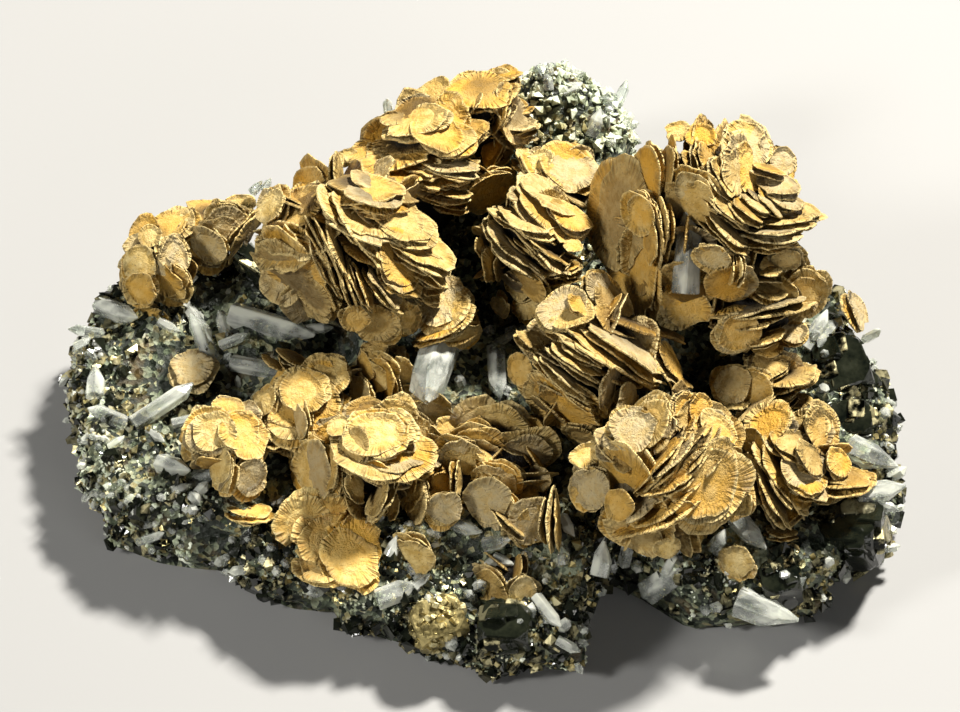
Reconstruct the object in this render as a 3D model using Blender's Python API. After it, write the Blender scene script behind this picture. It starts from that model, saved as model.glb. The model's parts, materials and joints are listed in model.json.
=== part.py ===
"""Siderite specimen: rosettes of tan, lens-shaped siderite crystals with quartz and dark sulphides
on a granular matrix, 120 mm wide. The matrix rests on a flat base at z = 0."""

import math

import bmesh
import bpy
from mathutils import Matrix, Vector, noise

MM = 0.001

# The crystals are placed as they are seen from the front and above: across to the right and up,
# in millimetres on a plane square to the sight line, which comes down at this angle.
SIGHT_ANGLE = math.radians(50.0)
EYE_DISTANCE = 1000.0
BASE_SHIFT = 12.0
RIGHT = Vector((1.0, 0.0, 0.0))
UPWARD = Vector((0.0, math.sin(SIGHT_ANGLE), math.cos(SIGHT_ANGLE)))
TOWARD = Vector((0.0, -math.cos(SIGHT_ANGLE), math.sin(SIGHT_ANGLE)))

GAP = 0.3
MATRIX_GAP = 0.4
SMALLEST_PETAL = 2.9

# The outline of the matrix seen from above, before the base is centred.
OUTLINE_CENTRE = (0.0, -15.0)
OUTLINE = (
    (58, -24), (57, -14), (54, -8), (51, -1), (47, 5), (40, 9), (30, 11), (22, 14), (19, 20),
    (22, 27), (21, 33), (12, 34), (3, 35), (-2, 31), (-8, 25), (-12, 18), (-18, 12), (-27, 10),
    (-36, 9), (-44, 6), (-52, 2), (-57, -4), (-56.5, -14), (-55.5, -22), (-54.5, -30), (-52, -35.5),
    (-47, -38.5), (-37, -40), (-32, -44.5), (-27, -47), (-21, -47.5), (-19, -50), (-15, -52),
    (-8, -54), (-4, -57), (5, -58), (14, -56.5), (15.5, -50), (18, -42), (23, -45), (30, -50.5),
    (37, -50), (46, -49), (49, -43), (56, -39), (58, -33),
)
MATRIX_HEIGHT = 13.5
# Rises and hollows of the top: across, back, half width, half depth, height.
RISES = (
    (-16, -6, 18, 12, 5.0), (3, 18, 12, 12, 7.5), (12, 28, 10, 7, 14.0), (33, -6, 16, 14, 6.5),
    (14, -24, 12, 10, 3.5), (-44, -4, 9, 8, 3.0), (28, -40, 10, 8, -1.0), (0, -54, 16, 8, -5.0),
    (-20, -10, 4, 4, -6.0), (-1, 2, 4, 4, -6.0), (30, -14, 4, 5, -5.0), (-26, -40, 4, 4, -4.0),
    (-39, -5, 4, 5, -4.0),
)
WALL_RINGS = ((0.95, 0.97), (0.985, 0.82), (1.0, 0.55), (0.99, 0.25), (0.96, 0.0), (0.5, 0.0))
TOP_BUMPS = ((1.6, 9.0, 0.0), (0.9, 4.0, 7.0))
EDGE_FALL = 3.0
TOP_REACH = 0.93
RING_SPREAD = 0.85
WALL_PUSH = 2.2
WALL_BUMP = 6.0
MATRIX_SEGMENTS = 56
MATRIX_RINGS = 15

# Each group of siderite crystals: where its middle is seen, the height of that middle, the radius
# that its rims reach, how round it is toward the eye, the radius of the root that it spreads from,
# and its crystals. A crystal is a thin lens:
# across, up, radius, the way that its face leans, how far it leans, and its lift toward the eye.
GROUPS = {
    "left": ((-18.5, 16.0), 30.0, 13.5, 1.0, 9.0, (
        (-26.0, 12.0, 8.8, 222, 62, 0), (-26.5, 11.0, 8.6, 222, 66, -1.0), (-24.0, 19.0, 9.0, 135, 58, 0),
        (-16.5, 23.0, 6.0, 90, 60, 0), (-16.5, 20.0, 8.0, 66, 65, 0), (-15.0, 22.5, 5.5, 75, 66, 0.5),
        (-16.5, 18.0, 8.0, 45, 70, 0.5), (-10.5, 18.8, 4.8, 60, 50, 0), (-9.5, 15.5, 6.0, 55, 65, 0),
        (-8.0, 12.5, 4.5, 50, 70, 0), (-8.0, 10.0, 3.5, 50, 60, 0), (-11.5, 11.5, 4.0, 30, 50, 0),
        (-14.0, 10.0, 5.0, 40, 72, 0), (-22.0, 14.5, 6.0, 25, 85, 0.5), (-21.0, 14.5, 5.5, 24, 84, 0.5),
        (-18.6, 10.5, 4.5, 18, 85, 0), (-17.3, 10.3, 4.3, 22, 82, 0), (-14.5, 4.5, 3.5, 270, 35, 0),
        (-10.8, 5.5, 2.8, 270, 35, 0), (-18.0, 5.5, 2.5, 270, 40, 0), (-5.0, 6.2, 4.8, 120, 40, 0),
        (-5.0, 4.0, 5.5, 118, 76, 0.5), (-2.2, 3.0, 2.6, 300, 40, -1.0), (-29.5, 21.5, 3.0, 150, 50, 0),
    )),
    "top": ((-7.5, 29.0), 30.0, 9.5, 1.0, 6.6, (
        (-9.0, 33.0, 5.0, 110, 62, 0), (-11.0, 29.5, 8.5, 105, 65, 0), (-10.0, 28.5, 8.5, 95, 62, 0.5),
        (-4.6, 31.0, 4.6, 80, 52, 0.5),
        (-5.0, 27.5, 5.0, 75, 68, 0), (-8.0, 26.7, 7.0, 80, 70, 0.5), (-5.5, 23.6, 4.7, 80, 72, 0),
        (-4.0, 21.6, 2.7, 80, 75, 0), (-19.0, 28.3, 1.8, 120, 40, 0), (1.5, 23.8, 4.5, 300, 55, 0),
    )),
    "back": ((0.5, 34.5), 29.0, 7.5, 1.0, 5.6, (
        (0.0, 37.5, 5.5, 100, 56, 0), (-7.0, 36.8, 3.0, 130, 45, 0), (4.5, 34.5, 5.0, 20, 62, 0),
        (-0.8, 35.8, 2.0, 150, 78, 0.5), (3.0, 34.5, 3.0, 150, 78, 0.5), (3.5, 33.8, 1.7, 150, 78, 0.5),
        (5.0, 32.2, 4.0, 100, 78, 0), (-3.7, 32.5, 1.6, 150, 70, 0), (-1.2, 31.7, 1.9, 150, 70, 0),
        (1.8, 29.2, 2.5, 150, 55, 0), (3.3, 28.2, 2.0, 150, 55, 0), (1.0, 26.3, 1.5, 150, 50, 0),
    )),
    "middle": ((7.0, 16.0), 28.0, 8.5, 1.0, 5.8, (
        (9.5, 21.0, 6.5, 50, 60, 0), (9.5, 22.5, 5.5, 50, 68, 0), (12.5, 19.8, 4.0, 50, 60, 0),
        (6.5, 18.8, 5.2, 68, 75, 0.5), (5.0, 15.0, 6.3, 48, 72, 0), (8.0, 15.8, 4.5, 52, 75, 0),
        (9.0, 14.8, 4.5, 52, 75, 0), (10.0, 13.8, 4.5, 52, 75, 0), (11.3, 12.7, 2.4, 110, 72, 0),
        (12.8, 12.2, 2.3, 110, 72, 0), (12.0, 10.7, 2.7, 95, 75, 0), (13.2, 16.0, 1.6, 60, 50, 0),
        (7.3, 10.8, 4.0, 225, 65, 0), (1.6, 13.0, 2.9, 0, 65, 0), (0.0, 15.5, 1.6, 0, 60, 0),
        (6.8, 7.0, 2.4, 190, 30, -2.0), (3.0, 7.0, 1.8, 200, 50, -2.0),
    )),
    "saddle": ((11.5, 24.5), 26.5, 6.5, 0.8, 4.6, (
        (10.0, 25.7, 6.0, 55, 65, 0), (15.5, 25.5, 3.0, 70, 45, 0), (15.5, 23.0, 2.4, 140, 70, 0),
        (12.3, 27.0, 4.6, 62, 42, 0.5), (8.4, 27.6, 3.0, 120, 50, 0.5),
    )),
    "right": ((33.5, 18.5), 33.0, 14.5, 1.0, 9.8, (
        (20.5, 19.5, 9.2, 185, 58, 0), (22.5, 13.0, 8.3, 185, 65, 0), (22.8, 20.5, 3.2, 200, 40, 0.5),
        (25.0, 17.0, 5.0, 185, 78, 0.5), (26.0, 18.0, 4.0, 185, 80, 0.5), (24.5, 26.0, 4.5, 190, 65, 0),
        (27.2, 26.5, 4.0, 175, 75, 0), (30.3, 23.7, 4.2, 220, 45, 0), (32.0, 27.5, 3.7, 20, 70, 0),
        (34.5, 25.3, 3.7, 30, 65, 0.5), (36.3, 26.0, 3.8, 15, 60, 0.5), (37.3, 28.0, 4.5, 15, 55, 0),
        (38.5, 30.5, 4.0, 45, 35, 0), (41.0, 29.3, 2.5, 10, 60, 0), (43.3, 27.8, 2.5, 20, 35, 0),
        (41.0, 26.0, 3.0, 70, 75, 0), (42.5, 24.2, 3.8, 75, 60, 0), (43.5, 22.0, 3.3, 70, 65, 0),
        (46.3, 20.7, 2.4, 85, 65, 1.0), (39.5, 21.8, 2.5, 60, 70, 0.5), (41.6, 21.6, 2.5, 45, 72, 0.5),
        (43.2, 19.0, 4.2, 88, 72, 0.5), (41.0, 17.3, 4.8, 88, 76, 1.0), (37.8, 20.3, 3.2, 50, 72, 0.5),
        (35.6, 20.5, 3.4, 48, 72, 0.5), (35.0, 17.3, 4.2, 48, 75, 0.5), (33.2, 14.0, 3.0, 250, 45, 0),
        (35.7, 12.8, 2.4, 180, 75, 0.5), (37.2, 12.6, 2.4, 180, 75, 0.5), (35.8, 10.5, 4.0, 280, 50, 0),
        (43.5, 14.0, 2.8, 280, 50, 0), (41.5, 12.0, 1.7, 90, 70, 1.0), (28.3, 32.0, 1.8, 110, 30, 0),
        (31.5, 31.5, 2.4, 110, 35, 0), (34.2, 22.4, 3.4, 55, 70, 0),
    )),
    "right_lower": ((39.5, 6.5), 26.0, 7.5, 0.8, 5.4, (
        (39.0, 6.8, 8.3, 95, 78, 3.0), (43.0, 9.3, 2.5, 230, 40, 0), (47.0, 9.5, 3.5, 300, 30, 0),
        (36.2, 3.2, 3.5, 280, 35, 1.0), (41.0, 2.6, 3.0, 110, 75, 1.0), (45.0, 3.0, 2.3, 110, 40, 0),
        (28.3, 7.5, 3.8, 270, 20, 3.0), (32.5, 8.5, 3.2, 250, 40, 0), (40.5, 9.4, 3.6, 70, 60, 0.5),
    )),
    "centre": ((16.0, -1.0), 26.0, 10.5, 1.0, 7.2, (
        (12.0, 6.5, 4.0, 110, 35, 0), (14.3, 6.8, 2.4, 40, 60, 0), (20.5, 1.5, 7.5, 52, 69, 0),
        (27.0, -1.5, 3.8, 30, 72, 1.0), (17.3, 1.0, 10.5, 58, 78, 0.5), (14.8, 0.5, 4.5, 58, 75, 0),
        (14.0, -1.2, 5.0, 57, 75, 0), (12.8, -3.8, 5.8, 55, 78, 0.5), (12.3, -5.5, 6.3, 235, 70, 0),
        (7.0, 2.0, 2.4, 60, 60, 0), (11.5, -6.7, 7.0, 235, 62, 0), (5.6, -1.8, 2.2, 200, 30, 0.5),
        (18.5, -4.7, 3.4, 340, 65, 0), (21.0, -6.0, 2.2, 340, 50, 0), (14.5, -11.0, 3.0, 250, 65, 0.5),
        (17.3, 8.8, 4.2, 35, 55, -2.0),
    )),
    "front_right": ((26.5, -17.0), 22.0, 11.5, 1.0, 7.8, (
        (22.5, -20.0, 8.5, 212, 58, 0), (22.0, -24.5, 5.5, 240, 56, 0), (21.5, -10.5, 4.0, 130, 40, 0),
        (24.7, -10.0, 4.5, 160, 60, 0), (28.8, -7.5, 3.0, 0, 55, 0), (31.2, -7.3, 2.3, 0, 45, 0),
        (26.8, -10.3, 1.8, 150, 60, 0.5), (25.5, -15.3, 6.0, 140, 78, 0.5), (27.0, -15.0, 5.8, 140, 78, 0.5),
        (30.0, -13.5, 5.3, 137, 78, 0.5), (31.0, -14.8, 4.5, 137, 76, 0.5), (32.7, -16.0, 2.0, 137, 70, 0.5),
        (27.0, -18.3, 4.5, 112, 72, 0.5), (25.8, -21.5, 7.7, 122, 70, 1.0), (19.8, -21.3, 2.4, 200, 40, 1.0),
        (33.0, -18.8, 6.3, 330, 25, 0), (33.8, -10.8, 3.8, 40, 45, 0), (35.3, -14.3, 2.3, 300, 55, 0),
        (29.3, -22.0, 1.5, 300, 40, 1.0), (15.2, -14.3, 2.2, 120, 40, 0), (15.8, -18.8, 3.4, 190, 35, 0),
        (26.8, -27.3, 2.0, 280, 40, 1.0), (37.3, -21.0, 2.4, 200, 35, 1.0),
    )),
    "front_left": ((-15.0, -14.5), 18.5, 9.5, 0.9, 6.4, (
        (-14.0, -13.0, 7.5, 80, 53, 0), (-20.0, -10.0, 2.0, 100, 40, 0), (-12.5, -14.0, 6.0, 65, 50, 0),
        (-13.0, -14.5, 5.8, 75, 62, 0.5), (-14.7, -16.3, 2.6, 250, 55, 1.0), (-14.0, -20.0, 4.0, 155, 70, 0.5),
        (-9.3, -20.5, 4.3, 185, 60, 0), (-12.5, -21.5, 2.0, 170, 65, 0), (-24.0, -16.0, 5.0, 190, 50, 0),
        (-22.5, -16.3, 4.2, 185, 62, 0.5), (-20.7, -16.5, 3.7, 180, 70, 0.5), (-17.8, -18.7, 2.4, 20, 55, 0.5),
        (-14.4, -10.8, 5.2, 90, 42, 0.5), (-18.4, -13.6, 3.6, 160, 40, 0),
    )),
    "front_centre": ((1.0, -16.5), 15.5, 11.0, 0.45, 7.4, (
        (3.0, -10.5, 5.0, 250, 35, 0), (-0.5, -9.5, 3.4, 170, 45, 0), (3.2, -17.5, 3.6, 250, 45, 0),
        (4.5, -13.0, 2.0, 60, 60, 0.5), (7.9, -14.0, 3.0, 30, 75, 0.5), (2.0, -21.3, 4.2, 225, 40, 1.0),
        (4.0, -24.0, 3.3, 45, 75, 1.5), (7.6, -24.2, 4.2, 300, 30, 1.0), (-4.3, -10.8, 2.5, 40, 35, 0),
        (-3.0, -14.5, 3.8, 260, 30, 0.5), (-3.7, -17.5, 3.1, 0, 80, 1.5), (-5.5, -18.0, 1.8, 250, 30, 0),
        (-5.5, -22.0, 3.0, 270, 25, 1.0), (-7.5, -7.5, 3.2, 250, 35, 0.5), (8.5, -17.5, 2.0, 200, 40, 0),
        (-0.2, -12.8, 4.2, 255, 36, 0.5), (2.6, -16.2, 3.4, 60, 55, 0),
        (7.5, -10.5, 2.4, 250, 35, 0),
    )),
    "inner_left": ((-14.5, -2.5), 18.5, 6.0, 0.7, 4.0, (
        (-13.3, -3.5, 4.3, 200, 68, 0.5), (-16.8, -5.0, 3.0, 190, 60, 0.5), (-16.5, -1.5, 2.0, 190, 50, 0),
        (-11.0, -2.3, 2.2, 250, 35, 0), (-15.0, 0.5, 2.4, 100, 50, 0), (-9.8, -5.5, 2.0, 250, 40, 0),
        (-14.2, -1.6, 3.2, 215, 45, 0.5),
    )),
    "left_fan": ((-25.0, -7.5), 19.0, 7.5, 0.6, 4.8, (
        (-26.0, -9.0, 5.8, 100, 30, 0), (-25.6, -9.6, 3.5, 180, 66, 1.5), (-21.5, -2.8, 3.7, 110, 30, 0),
        (-29.0, -12.3, 2.6, 95, 70, 0.5), (-26.5, -0.3, 2.7, 60, 72, 0.5), (-29.6, -0.9, 1.8, 60, 72, 0.5),
        (-30.5, -6.5, 2.4, 160, 45, 0), (-25.0, -4.6, 4.2, 100, 34, 0.5),
    )),
    "outer_left": ((-36.0, -12.5), 18.0, 7.0, 0.6, 4.4, (
        (-38.7, -10.5, 3.6, 100, 15, 0.5), (-41.0, -11.5, 2.2, 150, 35, 0), (-35.6, -11.5, 4.6, 350, 70, 0),
        (-36.2, -17.0, 3.1, 170, 55, 1.0), (-32.9, -17.5, 3.1, 330, 35, 0), (-36.0, -7.5, 2.6, 80, 45, 0),
        (-38.5, -14.5, 3.0, 270, 65, 0.5), (-33.6, -11.4, 3.8, 50, 38, 0.5),
    )),
    "far_left": ((-45.5, 13.5), 20.0, 7.0, 0.7, 4.6, (
        (-43.0, 18.7, 3.8, 110, 45, 0), (-47.2, 17.0, 2.0, 130, 30, 0), (-43.7, 15.0, 2.9, 10, 30, 0.5),
        (-45.3, 13.0, 1.6, 210, 30, 1.0), (-48.6, 12.7, 3.4, 180, 35, 0), (-48.6, 9.4, 3.0, 200, 30, 0.5),
        (-47.0, 5.4, 2.6, 260, 35, 0), (-43.6, 10.8, 3.4, 220, 45, 0.5),
    )),
    "upper_left": ((-37.5, 17.5), 20.0, 6.0, 0.7, 4.4, (
        (-36.2, 18.8, 4.0, 300, 25, 0.5), (-39.0, 20.3, 4.0, 90, 65, -1.0), (-34.5, 21.3, 2.3, 100, 30, 0),
        (-34.2, 17.3, 4.5, 325, 78, 1.5), (-39.2, 15.8, 3.6, 235, 38, 0.5),
    )),
    "golden_shell": ((-21.0, -26.5), 12.0, 7.0, 0.5, 4.8, (
        (-24.9, -24.2, 5.2, 320, 30, 0.5), (-18.3, -28.4, 5.4, 60, 22, 1.0), (-21.0, -22.7, 4.2, 265, 40, -0.5),
        (-22.2, -29.6, 4.4, 95, 46, 0.3), (-33.0, -22.7, 3.7, 85, 74, 1.0), (-22.0, -26.6, 4.6, 40, 30, 0.4),
    )),
    "right_upper": ((41.0, -4.5), 19.5, 6.5, 0.6, 4.2, (
        (35.7, -4.3, 3.3, 180, 35, 0), (39.0, -3.8, 3.0, 200, 35, 0), (43.7, -3.1, 5.6, 100, 66, 1.0),
        (39.9, -6.9, 3.9, 130, 76, 1.0), (37.0, -6.8, 2.0, 110, 60, 0), (41.2, -1.4, 3.4, 95, 52, 0.5),
    )),
    "far_right": ((44.5, -16.0), 17.5, 9.0, 0.8, 6.0, (
        (41.1, -9.9, 3.8, 130, 45, 0), (43.9, -12.6, 3.5, 70, 55, 0), (47.1, -15.1, 3.0, 30, 50, 0),
        (51.0, -15.4, 2.5, 20, 45, 0), (48.6, -9.9, 3.5, 20, 40, 0), (43.3, -17.1, 6.2, 35, 68, 0.5),
        (41.6, -20.4, 5.8, 28, 75, 1.0), (42.9, -25.6, 2.6, 85, 72, 1.5), (44.5, -28.5, 2.2, 240, 45, 0),
        (51.9, -18.0, 4.9, 95, 66, 1.5), (39.0, -12.3, 2.2, 200, 50, 0), (46.4, -17.6, 3.8, 55, 50, 0.5),
    )),
    "front_edge": ((4.5, -32.0), 8.5, 5.5, 0.6, 3.8, (
        (1.0, -33.0, 4.5, 215, 50, 0), (8.5, -30.3, 2.2, 270, 45, 0), (6.0, -33.4, 2.6, 280, 30, 0.5),
        (5.9, -30.5, 2.6, 170, 72, 1.0),
    )),
}

# Groups that have grown into each other make one solid. The first listed keep their whole shape.
SIDERITE_NODES = {
    "siderite_rosette_right": ("right", "right_lower"),
    "siderite_rosette_left": ("left",),
    "siderite_rosette_centre": ("centre",),
    "siderite_rosette_front_right": ("front_right",),
    "siderite_rosettes_back": ("top", "back"),
    "siderite_rosette_middle": ("middle", "saddle"),
    "siderite_rosette_front_left": ("front_left",),
    "siderite_cluster_far_right": ("far_right",),
    "siderite_cluster_far_left": ("far_left", "upper_left"),
    "siderite_cluster_outer_left": ("outer_left",),
    "siderite_cluster_left_fan": ("left_fan",),
    "siderite_cluster_inner_left": ("inner_left",),
    "siderite_cluster_front_centre": ("front_centre",),
    "siderite_cluster_right_upper": ("right_upper",),
    "siderite_cluster_front_edge": ("front_edge",),
    "siderite_golden_shell": ("golden_shell",),
}
LENS_EDGE = 0.7
LENS_SHARE = 0.12
LENS_SIDES = (6, 8)
LARGE_LENS = 5.0
RIM_WAVES = ((2.0, 0.05, 1.0), (3.0, 0.035, 1.7), (5.0, 0.03, 2.3))
FURTHEST_OFF = 0.97
SEED_SIZE = 1.0
FLATTEST_ROOT = 0.5
ROOT_CORNERS = 1.15
FOOT_SHARE = 0.72
FOOT_DEPTH = 1.5
SIGHT_START = 70.0
SIGHT_STEP = 0.25
SIGHT_STEPS = 480
BLOCK_SIZE = 90.0
LONG_PETAL = 5.0

# Siderite crystals that grew alone: across, up, radius, lean direction, lean, height over the matrix.
SINGLES = (
    (-41.1, -2.1, 4.0, 95, 42, 1.5), (-9.3, -28.3, 3.7, 225, 45, 1.5), (10.2, -23.3, 4.5, 0, 84, 3.0),
    (36.8, -29.5, 2.8, 200, 25, 1.5), (53.2, 6.1, 3.4, 25, 70, 2.0),
)

# Quartz prisms: the foot and the tip as seen, their heights over the matrix, and the width.
QUARTZ = (
    (-49.5, -9.8, 1.0, -40.5, -3.8, 3.0, 3.0), (-54.3, 7.3, 0.5, -49.0, 5.2, 2.5, 3.4),
    (-46.0, 9.4, 1.0, -39.8, 11.2, 4.0, 3.2), (-38.0, -1.5, 0.0, -41.2, 6.5, 4.0, 2.9),
    (-36.2, 2.4, 0.0, -37.2, 6.8, 2.5, 2.2), (-35.5, 5.9, 1.5, -23.2, 2.4, 3.5, 4.6),
    (-35.5, -1.0, 0.5, -25.8, -2.9, 1.5, 2.9), (-45.5, -15.4, 1.0, -41.4, -16.6, 3.0, 3.3),
    (-48.9, -26.6, 0.0, -45.0, -25.3, 0.8, 1.5), (-54.0, 3.2, 1.0, -59.0, 4.0, 1.5, 1.8),
    (-50.5, -9.6, 0.0, -56.3, -7.2, 1.0, 2.4), (-55.0, -5.8, 0.5, -54.6, -0.8, 0.5, 3.2),
    (-5.2, 2.4, 2.0, -8.5, -7.0, 9.0, 6.4), (2.2, 1.0, 0.5, 2.5, -6.2, 2.5, 3.3),
    (29.4, 9.0, 18.5, 30.2, 21.8, 28.0, 5.2), (46.3, 1.0, 0.0, 50.0, 6.8, 3.0, 2.7),
    (24.0, -33.6, 0.5, 31.6, -28.6, 2.0, 4.4), (36.6, -23.0, 2.0, 40.8, -28.0, 2.5, 3.5),
    (36.8, -34.8, 0.5, 46.0, -38.4, 1.0, 5.0), (52.6, -13.0, 0.5, 60.0, -16.4, 2.0, 4.6),
    (53.6, -19.9, 1.5, 61.4, -18.8, 2.5, 3.7), (-19.4, -25.0, 0.5, -17.0, -21.3, 2.5, 2.8),
    (-14.8, -34.8, 0.5, -8.6, -32.6, 1.0, 3.4), (17.0, -31.5, 0.5, 18.2, -26.0, 2.5, 3.2),
    (17.0, 33.5, -1.0, 19.0, 38.5, 1.5, 3.8),
)
PRISM_SIDES = 6
TIP_SHARE = 0.85
TIP_OFFSET = 0.12
SHORTEST_SHAFT = 0.3
DEEPEST_TIP = 1.5
HIGHEST_TIP = 12.0

# Dark sulphide crystals: across, up, height over the matrix, width, depth, height and turn.
SULPHIDES = {
    "sphalerite_right_upper": (51.0, -3.0, 0.5, 10.0, 9.0, 8.0, 20),
    "sphalerite_right": (53.3, -10.0, 0.0, 6.5, 6.0, 6.0, 5),
    "sphalerite_right_lower": (53.4, -25.0, 0.5, 9.0, 8.5, 11.0, -12),
    "sphalerite_front_right": (43.0, -32.5, 0.5, 6.0, 6.0, 8.0, 15),
    "pyrite_front": (-5.9, -38.6, 0.5, 8.0, 6.5, 6.5, 20),
    "sphalerite_front": (3.9, -39.2, 0.5, 8.0, 6.0, 6.0, -10),
    "sphalerite_blade_left": (-31.5, 10.0, 2.0, 3.6, 12.0, 4.0, 50),
}

CORNER_CUT = 0.32
SULPHIDE_SINK = 0.3
SULPHIDE_TILTS = ((14.0, "X"), (-9.0, "Y"))

COLOURS = {
    "siderite": ((0.56, 0.36, 0.14, 1.0), 0.75, 0.0),
    "siderite_golden": ((0.62, 0.36, 0.08, 1.0), 0.5, 0.0),
    "quartz": ((0.62, 0.68, 0.64, 1.0), 0.15, 0.0),
    "sphalerite": ((0.035, 0.038, 0.028, 1.0), 0.35, 0.3),
    "pyrite": ((0.42, 0.34, 0.12, 1.0), 0.4, 0.8),
    "matrix": ((0.12, 0.12, 0.09, 1.0), 0.8, 0.0),
}


def seen_point(across, up, near):
    """The point seen at (across, up), this far in front of the view plane."""
    shrink = 1.0 - near / EYE_DISTANCE
    point = RIGHT * across * shrink + UPWARD * up * shrink + TOWARD * near
    return point + Vector((0.0, BASE_SHIFT, 0.0))


def near_of_height(up, height):
    """How near the eye a point seen this far up is, at this height over the base."""
    return (height - up * math.cos(SIGHT_ANGLE)) / math.sin(SIGHT_ANGLE)


def outline_radius(angle):
    """How far the matrix reaches from its middle, this way."""
    corners = [(math.atan2(y - OUTLINE_CENTRE[1], x - OUTLINE_CENTRE[0]),
                math.hypot(x - OUTLINE_CENTRE[0], y - OUTLINE_CENTRE[1])) for x, y in OUTLINE]
    corners.sort()
    first, last = corners[0], corners[-1]
    corners = [(last[0] - math.tau, last[1])] + corners + [(first[0] + math.tau, first[1])]
    for (low, low_radius), (high, high_radius) in zip(corners, corners[1:]):
        if low <= angle <= high:
            share = (angle - low) / (high - low)
            return low_radius + share * (high_radius - low_radius)
    return first[1]


def matrix_top(x, y):
    """The height of the matrix there, falling off steeply past its outline."""
    height = MATRIX_HEIGHT
    for across, back, half_width, half_depth, rise in RISES:
        height += rise * math.exp(-((x - across) / half_width) ** 2 - ((y - back) / half_depth) ** 2)
    for size, length, layer in TOP_BUMPS:
        height += size * noise.noise(Vector((x, y, layer)) / length)
    over_x, over_y = x - OUTLINE_CENTRE[0], y - OUTLINE_CENTRE[1]
    past = math.hypot(over_x, over_y) - outline_radius(math.atan2(over_y, over_x))
    return height - EDGE_FALL * max(0.0, past)


def seat(across, up, lift):
    """How near the eye the sight line comes this close to the matrix, or passes closest to it."""
    best_near, best_height = 0.0, math.inf
    for step in range(SIGHT_STEPS):
        near = SIGHT_START - SIGHT_STEP * step
        point = seen_point(across, up, near)
        height = point.z - matrix_top(point.x, point.y - BASE_SHIFT)
        if height < best_height:
            best_near, best_height = near, height
        if height <= lift:
            break
    return best_near


def rim_share(seed, angle):
    """How far a crystal's rim reaches this way, as a share of its radius."""
    return 1.0 + sum(size * math.sin(turns * angle + shift * seed) for turns, size, shift in RIM_WAVES)


def lens_thickness(radius):
    return LENS_EDGE + LENS_SHARE * radius


def petal_frame(across, up, near, lean, tilt):
    """Where a crystal lies, with its face square to its own Z axis."""
    lean, tilt = math.radians(lean), math.radians(tilt)
    side = RIGHT * math.cos(lean) + UPWARD * math.sin(lean)
    facing = TOWARD * math.cos(tilt) + side * math.sin(tilt)
    turn = facing.to_track_quat("Z", "Y").to_matrix().to_4x4()
    return Matrix.Translation(seen_point(across, up, near)) @ turn


def add_lens(bm, frame, radius, seed):
    """One thin lens, with a rim that isn't quite round."""
    half = 0.5 * lens_thickness(radius)
    sides = LENS_SIDES[0] if radius < LARGE_LENS else LENS_SIDES[1]
    made = bmesh.ops.create_uvsphere(bm, u_segments=sides, v_segments=2, radius=1.0)
    for vert in made["verts"]:
        share = rim_share(seed, math.atan2(vert.co.y, vert.co.x)) * radius
        vert.co = frame @ Vector((vert.co.x * share, vert.co.y * share, vert.co.z * half))


def petal_near(group, across, up, radius, tilt, lift):
    """How near the eye a crystal's middle is, for its rim to reach the group's round front."""
    (mid_across, mid_up), height, ball, flat = group[:4]
    off = min(math.hypot(across - mid_across, up - mid_up), FURTHEST_OFF * ball)
    front = flat * math.sqrt(ball ** 2 - off ** 2)
    slope = (up - mid_up) * (flat - 1.0) * math.cos(SIGHT_ANGLE) / math.sin(SIGHT_ANGLE)
    return near_of_height(mid_up, height) + slope + front - radius * math.sin(math.radians(tilt)) + lift


def group_middle(group):
    (across, up), height = group[:2]
    return seen_point(across, up, near_of_height(up, height))


def root_places(group):
    """Where a group's root lies and its shape, and the same for the foot that joins it to the matrix."""
    flat, root = group[3:5]
    middle = group_middle(group)
    frame = Matrix.Translation(middle) @ TOWARD.to_track_quat("Z", "Y").to_matrix().to_4x4()
    shape = Matrix.Diagonal((root, root, root * max(flat, FLATTEST_ROOT), 1.0))
    half = 0.5 * (middle.z - matrix_top(middle.x, middle.y - BASE_SHIFT)) + FOOT_DEPTH
    foot_frame = Matrix.Translation(middle + Vector((0.0, 0.0, FOOT_DEPTH - half)))
    return frame, shape, foot_frame, Matrix.Diagonal((FOOT_SHARE * root, FOOT_SHARE * root, half, 1.0))


def add_group(bm, group, seed):
    """A group's crystals, and the root and foot that they spread from."""
    petals = group[5]
    root_frame, root_shape, foot_frame, foot_shape = root_places(group)
    for matrix in (root_frame @ root_shape, foot_frame @ foot_shape):
        bmesh.ops.create_icosphere(bm, subdivisions=1, radius=ROOT_CORNERS, matrix=matrix)
    for index, (across, up, radius, lean, tilt, lift) in enumerate(petals):
        if radius < SMALLEST_PETAL:
            continue
        near = petal_near(group, across, up, radius, tilt, lift)
        add_lens(bm, petal_frame(across, up, near, lean, tilt), radius, seed + index)


def new_object(name, bm, collection):
    """An object from this bmesh, which is scaled from millimetres to metres."""
    bmesh.ops.scale(bm, vec=(MM, MM, MM), verts=bm.verts)
    bmesh.ops.recalc_face_normals(bm, faces=bm.faces)
    mesh = bpy.data.meshes.new(name)
    bm.to_mesh(mesh)
    bm.free()
    obj = bpy.data.objects.new(name, mesh)
    collection.objects.link(obj)
    return obj


def apply_boolean(obj, other, operation):
    """Joins or cuts an object with another. Only the exact solver joins lenses that overlap in one
    mesh, and it leaves faces out of some of the cuts, which the manifold solver makes whole."""
    modifier = obj.modifiers.new(operation.lower(), "BOOLEAN")
    modifier.operation = operation
    modifier.solver = "EXACT" if operation == "UNION" else "MANIFOLD"
    modifier.use_self = operation == "UNION"
    modifier.object = other
    bpy.context.view_layer.update()
    graph = bpy.context.evaluated_depsgraph_get()
    obj.data = bpy.data.meshes.new_from_object(obj.evaluated_get(graph))
    obj.modifiers.clear()


def signed_volume(faces):
    total = 0.0
    for face in faces:
        first = face.verts[0].co
        for one, two in zip(face.verts[1:], face.verts[2:]):
            total += first.dot(one.co.cross(two.co))
    return total / 6.0


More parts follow.
